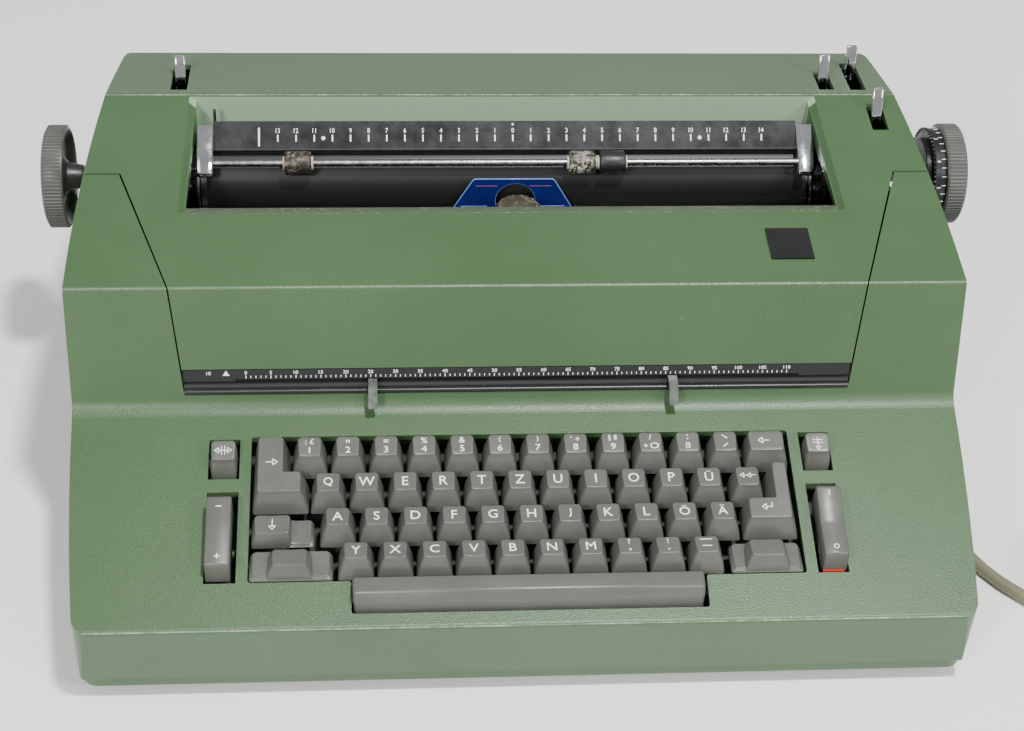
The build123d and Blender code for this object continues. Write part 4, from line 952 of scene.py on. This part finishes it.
def make_side_controls():
    """Two push buttons behind two rockers, beside the keyboard."""
    for side, name, body in ((-1, "margin_release", "margin_release_button"), (1, "index", "index_button")):
        x = side * BUTTON_X
        form = Form().use("key_grey")
        top = key_cap(form, (x - 6.3, x + 6.3), 82.5, 99.0, 71.5, (x - 5.7, x + 5.7), (84.5, 84.0),
                      tilt=22.0, length=10.9, dish=0.2)
        stem(form, x, 91.0, 71.5)
        form.use("legend_white")
        place = on_top(top, x, 5.4)
        if side < 0:
            for turn in (-1, 1):
                open_arrow(form, lambda a, u, t, turn=turn: place(turn * (a - 2.2), u, t), 0.0, 2.0, 0.34)
            stroke(form, place, [(-2.4, 0.0), (2.4, 0.0)], 0.34)
            for across in (-0.8, 0.8):
                stroke(form, place, [(across, -2.4), (across, 2.4)], 0.34)
        else:
            open_arrow(form, lambda a, u, t: place(u, a - 2.4, t), 5.2, 1.6, 0.34)
            for up in (-0.2, 1.4):
                stroke(form, place, [(-2.6, up), (2.6, up)], 0.34)
        form.piece(name + "_cap", body + "_body", "key_grey", body)
    make_rocker("tab_set", -ROCKER_X, "tab_rocker_body", "tab_set_rocker", [(27.0, 69.0), (62.5, 81.0)])
    make_rocker("power", ROCKER_X, "power_rocker_body", "power_rocker",
                [(27.0, 69.0), (44.5, 73.5), (62.5, 82.0)])


def make_rocker(name, x, body, node, top):
    """Long rocker on a cross pin, with a mark at each end of its top, which is straight or bent once."""
    bent = len(top) > 2
    corners = [(30.0, 54.5), (26.2, 57.5), *top, (66.0, 68.0), (62.0, 63.0), (52.0, 62.0), (50.0, 53.0),
               (42.0, 53.0), (40.0, 62.0)]
    radii = [0.5, 0.8, 1.6, *([12.0] if bent else []), 1.8, 0.8, 0.5, 0.5, 1.0, 1.0, 0.5]
    form = Form().use("key_grey")
    form.bar(rounded_polygon(corners[::-1], radii[::-1], 5, 1),
             both_ends(x - ROCKER_HALF, x + ROCKER_HALF, (0.0, 0.8), (0.2, 0.35), (0.7, 0.0)))
    form.lathe(both_ends(x - PIN_HALF, x + PIN_HALF, (0.0, 0.0), (0.0, 2.0)), *ROCKER_PIN, 20)
    form.use("legend_white")
    tilts = [math.degrees(math.atan2(b[1] - a[1], b[0] - a[0])) for a, b in zip(top, top[1:])]
    low, high = Top(top[0], tilts[0]), Top(top[-1], tilts[-1])
    if bent:
        stroke(form, on_top(high, x, -4.4), [(0.0, -1.3), (0.0, 1.3)], 0.5)
        letter(form, "O", on_top(low, x, 4.2), 2.6)
        form.use("signal_red").slab(rectangle(25.2, 26.0, 55.8, 58.6), x - 6.2, x + 4.6)
    else:
        stroke(form, on_top(high, x, -6.0), [(-1.3, 0.0), (1.3, 0.0)], 0.5)
        letter(form, "+", on_top(low, x, 4.6), 2.8)
    form.piece(name + "_rocker_cap", body, "key_grey", node, smooth=40)


# Geometry Nodes for what repeats: ribs and teeth in rings, marks in rows, characters on the type element
class Tree(Wiring):
    """A Geometry Nodes tree under construction, with named inputs."""

    def __init__(self, name, **inputs):
        super().__init__(bpy.data.node_groups.new(name, "GeometryNodeTree"))
        interface = self.tree.interface
        interface.new_socket("Geometry", in_out="OUTPUT", socket_type="NodeSocketGeometry")
        for label, (kind, value) in inputs.items():
            socket = interface.new_socket(label, in_out="INPUT", socket_type="NodeSocket" + kind)
            if value is not None:
                socket.default_value = value
        self.inputs = self.node("NodeGroupInput").outputs
        self.exit = self.node("NodeGroupOutput")

    def finish(self, geometry):
        real = self.node("GeometryNodeRealizeInstances", {"Geometry": geometry}).outputs[0]
        dressed = self.node("GeometryNodeSetMaterial", {"Geometry": real, "Material": self.inputs["finish"]})
        self.put(dressed.outputs[0], self.exit.inputs[0])
        return self.tree


def ring_tree():
    """Round ribs that lie along the local Z axis, evenly spaced on a ring."""
    t = Tree("rib_ring", count=("Int", 60), ring_radius=("Float", 0.02), rib_radius=("Float", 0.001),
             rib_length=("Float", 0.01), finish=("Material", None))
    ring = t.node("GeometryNodeMeshCircle", {"Vertices": t.inputs["count"],
                                             "Radius": t.inputs["ring_radius"]})
    rib = t.node("GeometryNodeMeshCylinder", {"Vertices": 6, "Radius": t.inputs["rib_radius"],
                                              "Depth": t.inputs["rib_length"]})
    turned = t.math("DIVIDE", t.node("GeometryNodeInputIndex").outputs[0], t.inputs["count"])
    turn = t.node("ShaderNodeCombineXYZ", {"Z": t.math("MULTIPLY", turned, math.tau)})
    placed = t.node("GeometryNodeInstanceOnPoints", {"Points": ring.outputs[0], "Instance": rib.outputs[0],
                                                     "Rotation": turn.outputs[0]})
    return t.finish(placed.outputs[0])


def row_tree():
    """Flat marks in a row along the local X axis, every fifth one longer where asked."""
    t = Tree("mark_row", count=("Int", 10), pitch=("Float", 0.01), width=("Float", 0.0005),
             length=("Float", 0.002), thickness=("Float", 0.0001), every=("Int", 5), longer=("Float", 1.0),
             finish=("Material", None))
    step = t.node("ShaderNodeCombineXYZ", {"X": t.inputs["pitch"]})
    line = t.node("GeometryNodeMeshLine", {"Count": t.inputs["count"], "Offset": step.outputs[0]},
                  mode="OFFSET")
    size = t.node("ShaderNodeCombineXYZ", {"X": t.inputs["width"], "Y": t.inputs["length"],
                                           "Z": t.inputs["thickness"]})
    mark = t.node("GeometryNodeMeshCube", {"Size": size.outputs[0]})
    rest = t.math("FLOORED_MODULO", t.node("GeometryNodeInputIndex").outputs[0], t.inputs["every"])
    long_one = t.math("LESS_THAN", rest, 0.5)
    extra = t.math("MULTIPLY", long_one, t.math("SUBTRACT", t.inputs["longer"], 1.0))
    scale = t.node("ShaderNodeCombineXYZ", {"X": 1.0, "Y": t.math("ADD", extra, 1.0), "Z": 1.0})
    placed = t.node("GeometryNodeInstanceOnPoints", {"Points": line.outputs[0], "Instance": mark.outputs[0],
                                                     "Scale": scale.outputs[0]})
    return t.finish(placed.outputs[0])


def character_tree():
    """Raised characters round a ball, in rows, each turned a little by a fixed seed."""
    t = Tree("type_characters", columns=("Int", 22), rows=("Int", 7), radius=("Float", 0.016),
             size=("Float", 0.002), seed=("Int", 3), finish=("Material", None))
    ball = t.node("GeometryNodeMeshUVSphere", {"Segments": t.inputs["columns"], "Rings": t.inputs["rows"],
                                               "Radius": t.inputs["radius"]})
    place = t.node("GeometryNodeInputPosition").outputs[0]
    height = t.node("ShaderNodeSeparateXYZ", {0: place}).outputs[2]
    limit = t.math("MULTIPLY", t.inputs["radius"], 0.86)
    on_side = t.math("LESS_THAN", t.math("ABSOLUTE", height), limit)
    turned = t.node("FunctionNodeAlignRotationToVector", {"Vector": place}, axis="Z")
    spin = t.node("FunctionNodeRandomValue", {2: -0.6, 3: 0.6, 8: t.inputs["seed"]}, data_type="FLOAT")
    twist = t.node("ShaderNodeCombineXYZ", {"Z": spin.outputs[1]})
    rotation = t.node("FunctionNodeRotateRotation",
                      {"Rotation": turned.outputs[0], "Rotate By": twist.outputs[0]}, rotation_space="LOCAL")
    leaf = t.node("GeometryNodeMeshUVSphere", {"Segments": 8, "Rings": 6, "Radius": t.inputs["size"]})
    placed = t.node("GeometryNodeInstanceOnPoints",
                    {"Points": ball.outputs[0], "Selection": on_side, "Instance": leaf.outputs[0],
                     "Rotation": rotation.outputs[0], "Scale": (1.0, 0.5, 0.3)})
    return t.finish(placed.outputs[0])


def grow(name, tree, values, place, body, slot):
    """Run a tree with its named inputs, keep the result as a plain mesh in its place and ride it."""
    made = link(name, bpy.data.meshes.new(name + "_seed"))
    modifier = made.modifiers.new("grow", "NODES")
    modifier.node_group = tree
    for item in tree.interface.items_tree:
        if item.in_out == "INPUT" and item.name in values:
            modifier[item.identifier] = values[item.name]
    mesh = mesh_of(made)
    made.modifiers.remove(modifier)
    mesh.transform(place)
    mesh.name = name
    made.data = mesh
    settle(made, body, slot)


def along_x(x, depth, height):
    """Place for a ring tree round an axis along X."""
    return Matrix.Translation(at(x, depth, height)) @ Matrix.Rotation(math.radians(90), 4, "Y")


def on_face(x, depth, height, tilt):
    """Place with X across, Y up a face that leans back by tilt degrees from level, and Z out of it."""
    return Matrix.Translation(at(x, depth, height)) @ Matrix.Rotation(math.radians(tilt), 4, "X")


def face_point(depth, height, tilt):
    """Turns (x, up, lift) on a tilted face into a point of the frame, in millimetres."""
    run, rise = math.cos(math.radians(tilt)), math.sin(math.radians(tilt))
    return lambda x, up, lift: (x, depth + up * run - lift * rise, height + up * rise + lift * run)


# Platen group: knobs with fine ribs, and the line dial; places along the axis are x
PLATEN = (276.0, 124.0)
DIAL_RADIUS = 26.4
DIAL_LINES = 33


def make_knobs(ribs):
    """Both knobs with their ribs, and the line dial with teeth, marks and numbers."""
    left = Form().use("knob_black")
    left.lathe([(-256.0, 0), (-256.0, 12.0), (-255.7, 12.6), (-255.7, 23.4), (-256.0, 24.0),
                (-255.9, 26.4), (-255.2, 27.6), (-254.2, 28.1), (-245.6, 28.1), (-244.5, 27.7),
                (-244.0, 26.8), (-244.2, 25.9), (-245.2, 25.5)], *PLATEN, 96)
    # The knob's hollow is darker grey: painted shade
    left.use("hub_grey")
    left.lathe([(-245.2, 25.5), (-247.6, 22.5), (-248.4, 17.0), (-247.6, 11.5), (-244.6, 8.0), (-237.0, 6.6),
                (-236.1, 6.1), (-236.0, 5.2), (-236.0, 0)], *PLATEN, 96)
    left.piece("left_knob_body", "platen_group", "knob_black", "left_knob", smooth=30)
    right = Form().use("knob_black")
    right.lathe([(248.6, 0), (248.6, 26.6), (248.9, 27.5), (249.8, 28.1), (259.0, 28.1), (260.0, 27.5),
                 (260.5, 26.2), (260.6, 24.6), (260.2, 24.0), (260.2, 12.6), (260.5, 12.0), (260.5, 0)],
                *PLATEN, 96)
    right.piece("right_knob_body", "platen_group", "knob_black", "right_knob", smooth=30)
    dial = Form().use("scale_black")
    dial.lathe([(248.2, 0), (248.2, 25.6), (247.6, 26.3), (242.2, DIAL_RADIUS), (241.6, 25.8), (241.5, 21.4),
                (241.2, 21.0), (238.8, 21.0), (238.4, 20.6), (238.4, 0)], *PLATEN, 96)
    dial.piece("line_dial_body", "platen_group", "scale_black", "line_dial", smooth=30)
    for name, x, count, ring, radius, length, finish_name, slot in (
            ("left_knob_ribs", -249.9, 88, 28.05, 0.62, 9.6, "knob_black", "knob_black"),
            ("right_knob_ribs", 254.4, 88, 28.05, 0.62, 9.6, "knob_black", "knob_black"),
            ("line_dial_teeth", 241.9, 60, 25.7, 0.8, 1.6, "scale_black", "scale_black"),
            ("line_dial_marks", 246.7, DIAL_LINES, 26.3, 0.2, 2.4, "legend_white", "scale_black")):
        grow(name, ribs, {"count": count, "ring_radius": ring * MM, "rib_radius": radius * MM,
                          "rib_length": length * MM, "finish": finish[finish_name]},
             along_x(x, *PLATEN), "platen_group", slot)
    numbers = Form().use("legend_white")
    for index in range(DIAL_LINES // 3):
        turn = Matrix.Rotation(math.tau * index * 3 / DIAL_LINES, 2)

        def place(across, up, lift, turn=turn):
            spot = Vector(PLATEN) + turn @ Vector((DIAL_RADIUS + lift, across))
            return (244.0 + up, spot.x, spot.y)

        letter(numbers, str(index % 10), place, 2.1, 0.9, 0.1)
    numbers.piece("line_dial_numbers", "platen_group", "scale_black")


# Paper bail: rollers with washers, brackets with bevels, the scale and its marks
ROD = (256.6, 145.4)
ROD_BORE = 2.05
SCALE_LOW = (265.0, 148.3)
SCALE_TILT = math.degrees(math.atan2(160.2 - 148.3, 276.0 - 265.0))
SCALE_MIDDLE = 2.9
SCALE_PITCH = 10.0


def make_bail(marks):
    """Rollers with washers, bracket caps, and the scale's marks and numbers."""
    form = Form()
    for x0, x1, finish_name in ((-124.2, -107.6, "roller_worn"), (32.5, 49.1, "roller_pale"),
                                (49.3, 65.9, "roller_rubber")):
        form.use(finish_name)
        form.lathe(both_ends(x0, x1, (1.0, ROD_BORE), (1.0, 5.6), (1.4, 6.2), (2.2, 6.5)), *ROD, 40)
        form.use("washer_cream")
        for side, x in ((-1, x0), (1, x1)):
            washer = ((1.2, ROD_BORE), (1.2, 3.9), (0.3, 3.9), (0.0, 3.5), (0.0, ROD_BORE))
            form.lathe([(x - side * along, radius) for along, radius in washer], *ROD, 32)
    form.piece("bail_rollers_dressed", "bail_roller_set", "roller_rubber", "bail_rollers", smooth=40)

    form = Form().use("chrome_strip")
    outline = rounded_polygon([(252.2, 138.7), (277.1, 154.6), (274.1, 159.3), (249.1, 143.4)],
                              (0.9,) * 4, 3, 2)
    for x0, x1 in ((-171.5, -162.2), (162.2, 171.5)):
        form.bar(outline, both_ends(x0, x1, (0.0, 0.8), (0.25, 0.3), (0.9, 0.0)))
    form.piece("bail_bracket_caps", "bail", "chrome_strip", smooth=40)

    to_point = face_point(*SCALE_LOW, SCALE_TILT)
    first = to_point(SCALE_MIDDLE - 13 * SCALE_PITCH, 6.7, 0.0)
    grow("bail_scale_lines", marks,
         {"count": 28, "pitch": SCALE_PITCH * MM, "width": 0.75 * MM, "length": 3.7 * MM,
          "thickness": 0.16 * MM, "every": 100, "longer": 1.0, "finish": finish["legend_white"]},
         on_face(*first, SCALE_TILT), "bail", "scale_black")
    form = Form().use("legend_white")
    for number in range(-13, 15):
        x = SCALE_MIDDLE + SCALE_PITCH * number
        letter(form, str(abs(number)), lambda a, u, t, x=x: to_point(x + a, 10.9 + u, t), 2.6, 0.85, 0.12)
    for x, up, radius in ((-105.0, 6.7, 1.1), (105.0, 6.7, 1.1), (0.0, 14.3, 0.6)):
        form.tube([[to_point(SCALE_MIDDLE + x + a, up + b, lift) for a, b in circle(radius, 16)]
                   for lift in (-0.05, 0.12)])
    first_line = SCALE_MIDDLE - 140.3
    stroke(form, to_point, [(first_line, 2.5), (first_line, 12.3)], 0.95, thick=0.12)
    # Thin grey line along the lower edge of the scale: painted highlight on the plate's edge
    form.use("rail_grey")
    stroke(form, to_point, [(-161.8, 0.6), (161.8, 0.6)], 0.34, thick=0.1)
    form.piece("bail_scale_numbers", "bail", "scale_black")


# Each lever's x, then foot and tip of its strip and its pivot as (depth, height)
LEVERS = {
    "copy_control": (-183.2, (319.6, 163.9), (323.0, 173.6), (312.5, 112.0)),
    "line_space": (185.5, (316.6, 164.2), (320.4, 176.6), (309.5, 112.0)),
    "paper_release": (203.6, (328.4, 163.3), (330.8, 176.4), (318.5, 112.0)),
    "bail": (209.2, (279.8, 163.8), (284.4, 176.4), (250.0, 100.0)),
}
STRIP_HALF = 3.1
STRIP_BELOW = 13.0


def make_levers():
    """The four levers: a chromed strip with a crowned end that passes its slot, an arm and a boss."""
    for body, (x, foot, tip, pivot) in LEVERS.items():
        foot = Vector(foot)
        run = (Vector(tip) - foot).normalized()
        length = (tip[1] - foot.y) / run.y
        section = rounded_polygon(rectangle(x - STRIP_HALF, x + STRIP_HALF, -1.1, 1.3),
                                  (1.0, 1.0, 1.1, 1.1), 5, 1)
        form = Form().use("chrome_strip")
        rings = []
        for up, draw in ((-STRIP_BELOW, 0.4), (0.4 - STRIP_BELOW, 0.0), (length - 0.6, 0.0),
                         (length - 0.2, 0.3), (length, 0.8)):
            d, z = foot + run * up
            rings.append([(p.x, d + p.y * run.y, z - p.y * run.x) for p in inward(section, draw)])
        form.tube(rings)
        low = foot - run * (STRIP_BELOW + 0.5)
        form.slab([(pivot[0] - 3.0, pivot[1] + 3.6), (pivot[0] + 3.0, pivot[1] + 3.6),
                   (low.x + 2.6, low.y + 0.6), (low.x - 2.6, low.y + 0.6)], x - 1.5, x + 1.5)
        boss = both_ends(x - 2.0, x + 2.0, (0.0, 2.8), (0.0, 4.4), (0.3, 4.7))
        form.lathe(boss + boss[:1], *pivot, 28)
        form.piece(body + "_lever_dressed", body, "chrome_strip", body + "_lever", smooth=50)


# Margin scale and rail on the steep face at the foot of the cover
STEEP_LOW = (120.8, 87.2)
STEEP_HIGH = (141.0, 149.0)
STEEP_TILT = math.degrees(math.atan2(STEEP_HIGH[1] - STEEP_LOW[1], STEEP_HIGH[0] - STEEP_LOW[0]))
MARGIN_ZERO = -140.5
TENTH_INCH = 2.54
MARGIN_LAST = 110


def steep_depth(height):
    """Depth of the steep face at a height."""
    share = (height - STEEP_LOW[1]) / (STEEP_HIGH[1] - STEEP_LOW[1])
    return STEEP_LOW[0] + share * (STEEP_HIGH[0] - STEEP_LOW[0])


def make_margin_scale(marks):
    """Marks ten to the inch, numbers at each fifth, and the arrow at the left."""
    low = (steep_depth(101.5) + 0.2, 101.5)
    grow("margin_scale_lines", marks,
         {"count": MARGIN_LAST + 1, "pitch": TENTH_INCH * MM, "width": 0.36 * MM, "length": 1.15 * MM,
          "thickness": 0.14 * MM, "every": 5, "longer": 1.35, "finish": finish["legend_white"]},
         on_face(MARGIN_ZERO, low[0] + 0.35, low[1] + 1.35, STEEP_TILT), "cover", "scale_black")
    to_point = face_point(*low, STEEP_TILT)
    form = Form().use("legend_white")
    for number in range(0, MARGIN_LAST + 1, 5):
        x = MARGIN_ZERO + TENTH_INCH * number
        letter(form, str(number), lambda a, u, t, x=x: to_point(x + a, 3.7 + u, t), 1.75, 1.15, 0.12)
    letter(form, "10", lambda a, u, t: to_point(-159.3 + a, 3.5 + u, t), 1.75, 1.15, 0.12)
    arrow = [(-1.7, -1.2), (1.7, -1.2), (0.0, 1.5)]
    form.tube([[to_point(-150.5 + a, 3.4 + u, lift) for a, u in arrow] for lift in (-0.05, 0.12)])
    form.piece("margin_scale_numbers", "cover", "scale_black")


# Type element, card holder and release button on the carrier
CARRIER_X = 4.0
BALL = (226.0, 125.6)
BALL_RADIUS = 15.6
CARD_DEPTH = 250.0
CARD_MIDDLE = CARRIER_X - 1.2
PASSAGE_HEIGHT = 125.0
PASSAGE_RADIUS = 11.2


def make_type_element(characters):
    """Ball with a crown, cut level below, and the characters round it."""
    profile = [(-12.6, 6.0)]
    for rise in (-12.5, -11.0, -9.0, -6.5, -3.5, 0.0, 3.5, 6.5, 9.0, 11.0, 12.2):
        profile.append((rise, math.sqrt(BALL_RADIUS ** 2 - rise ** 2)))
    profile += [(12.9, 8.6), (13.8, 6.2), (14.4, 3.4), (14.6, 0.6)]
    form = Form().use("element_bronze")
    form.tube([[(CARRIER_X + a, BALL[0] + b, BALL[1] + rise) for a, b in circle(radius, 48)]
               for rise, radius in profile])
    form.piece("type_element_ball", "element", "element_bronze", "type_element", smooth=30)
    grow("type_element_characters", characters,
         {"columns": 18, "rows": 8, "radius": (BALL_RADIUS + 0.1) * MM, "size": 2.3 * MM, "seed": 7,
          "finish": finish["element_bronze"]},
         Matrix.Translation(at(CARRIER_X, *BALL)), "element", "element_bronze")


def rim_line(form, path, depth, radius):
    """Thin round bead along a path of (x, height) in an upright plane across the machine."""
    rings = []
    for i, (x, z) in enumerate(path):
        along = Vector(path[min(i + 1, len(path) - 1)]) - Vector(path[max(i - 1, 0)])
        side = Vector((-along.y, along.x)).normalized()
        rings.append([(x + side.x * a, depth + b, z + side.y * a) for a, b in circle(radius, 8)])
    form.tube(rings)


def make_card_holder():
    """Clear blue sheet with a round passage for the element, rolled edges in paler blue as painted highlight,
    and printed lines.
    """
    corners = [(24.0, 84.5), (24.0, 104.0), (33.0, 116.0), (33.0, 120.0), (22.6, 138.2), (21.4, 139.0)]
    outline = [(CARD_MIDDLE + x, z) for x, z in corners] + [(CARD_MIDDLE - x, z) for x, z in corners[::-1]]
    passage = [(CARRIER_X + a, PASSAGE_HEIGHT + b) for a, b in circle(PASSAGE_RADIUS, 36)]
    shape = bpy.data.curves.new("card_outline", "CURVE")
    shape.dimensions = "2D"
    shape.fill_mode = "BOTH"
    shape.extrude = 0.45 * MM
    for loop in (outline, passage):
        spline = shape.splines.new("POLY")
        spline.points.add(len(loop) - 1)
        spline.use_cyclic_u = True
        for point, (x, z) in zip(spline.points, loop):
            point.co = (x * MM, z * MM, 0.0, 1.0)
    holder = link("card_outline", shape)
    mesh = mesh_of(holder)
    bpy.data.objects.remove(holder)
    mesh.transform(Matrix.Translation(at(0.0, CARD_DEPTH, 0.0)) @ Matrix.Rotation(math.radians(90), 4, "X"))
    mesh.materials.clear()
    mesh.materials.append(finish["card_blue"])
    settle(link("card_holder_sheet", mesh), "carriage", "card_blue", ["card_holder"])

    # Paler blue beads along the outline and the passage: painted highlight on the edges; the short paler
    # lines are print
    form = Form().use("card_edge")
    rim_line(form, outline[1:-1], CARD_DEPTH - 0.1, 0.4)
    rim_line(form, passage + passage[:1], CARD_DEPTH - 0.1, 0.36)
    for finish_name, near, far, z in (("card_edge", 14.5, 29.0, 121.0), ("print_red", 9.0, 21.0, 134.6)):
        form.use(finish_name)
        for side in (-1, 1):
            rim_line(form, [(CARD_MIDDLE + side * x, z) for x in (near, far)], CARD_DEPTH - 0.5, 0.22)
    form.piece("card_holder_edges", "carriage", "card_blue", smooth=60)


def make_release_button():
    """Small red button on the right of the card holder."""
    form = Form().use("signal_red")
    form.tube([[(27.0 + a, CARD_DEPTH - 0.5 - out, 114.5 + b) for a, b in circle(radius, 24)]
               for out, radius in ((3.4, 0.3), (3.2, 1.2), (2.6, 1.9), (1.6, 2.3), (0.0, 2.4))])
    form.piece("release_button", "carriage", "card_blue", smooth=60)


def make_opening_bevel():
    """Flat bevel along the front of the paper opening, mottled in a greyer olive than the paint."""
    outline = rounded_polygon([(196.6, 153.6), (201.95, 149.6), (205.2, 149.6), (205.2, 152.1),
                               (197.2, 154.3), (196.6, 154.2)], (0.1, 0.1, 0.5, 0.5, 0.3, 0.05), 3, 1)
    form = Form().use("bevel_olive")
    form.slab([(p.x, p.y) for p in outline], -173.2, 173.2)
    form.piece("opening_front_bevel", "cover", "body_green", smooth=50)


# Sides of the lip's profile that make its bright bead
RAIL_BEAD = range(3, 7)


def make_rail_lip():
    """Dark lip with a bright bead below the margin rail, on the steep face of the housing."""
    low = (steep_depth(93.9), 93.9)
    to_point = face_point(*low, STEEP_TILT)
    profile = [(0.0, -0.9), (0.0, 0.4), (0.3, 0.5), (1.1, 0.5), (1.3, 0.8), (1.6, 0.9), (1.9, 0.8),
               (2.1, 0.5), (2.3, 0.35), (3.2, 0.3), (3.2, -0.9)]
    form = Form()
    left, right = [form.ring([to_point(x, up, lift) for up, lift in profile]) for x in (-171.8, 171.8)]
    for i in range(len(profile)):
        after = (i + 1) % len(profile)
        form.use("rail_grey" if i in RAIL_BEAD else "scale_black")
        form.face([left[i], left[after], right[after], right[i]])
    form.face(left)
    form.face(right)
    form.piece("margin_rail_lip", "housing", "scale_black", smooth=40)


def make_paper_guide():
    """Thin dark blade at the left behind the bail scale, on the housing's frame."""
    form = Form().use("frame_black")
    outline = rounded_polygon([(287.0, 138.5), (290.2, 138.5), (291.4, 157.0), (289.6, 160.6),
                               (288.4, 157.0)], (0.6, 0.6, 1.2, 0.8, 0.8), 3, 1)
    form.slab([(p.x, p.y) for p in outline], -163.4, -162.0, 0.2)
    form.piece("paper_guide_blade", "housing", "frame_black")


make_camera()
make_stage()
finish = make_finishes()
dress_cad()
make_lead()
make_rows()
make_left_keys()
make_right_keys()
make_space_bar()
make_side_controls()
ribs, marks = ring_tree(), row_tree()
make_knobs(ribs)
make_bail(marks)
make_levers()
make_margin_scale(marks)
make_type_element(character_tree())
make_card_holder()
make_release_button()
make_paper_guide()
make_opening_bevel()
make_rail_lip()
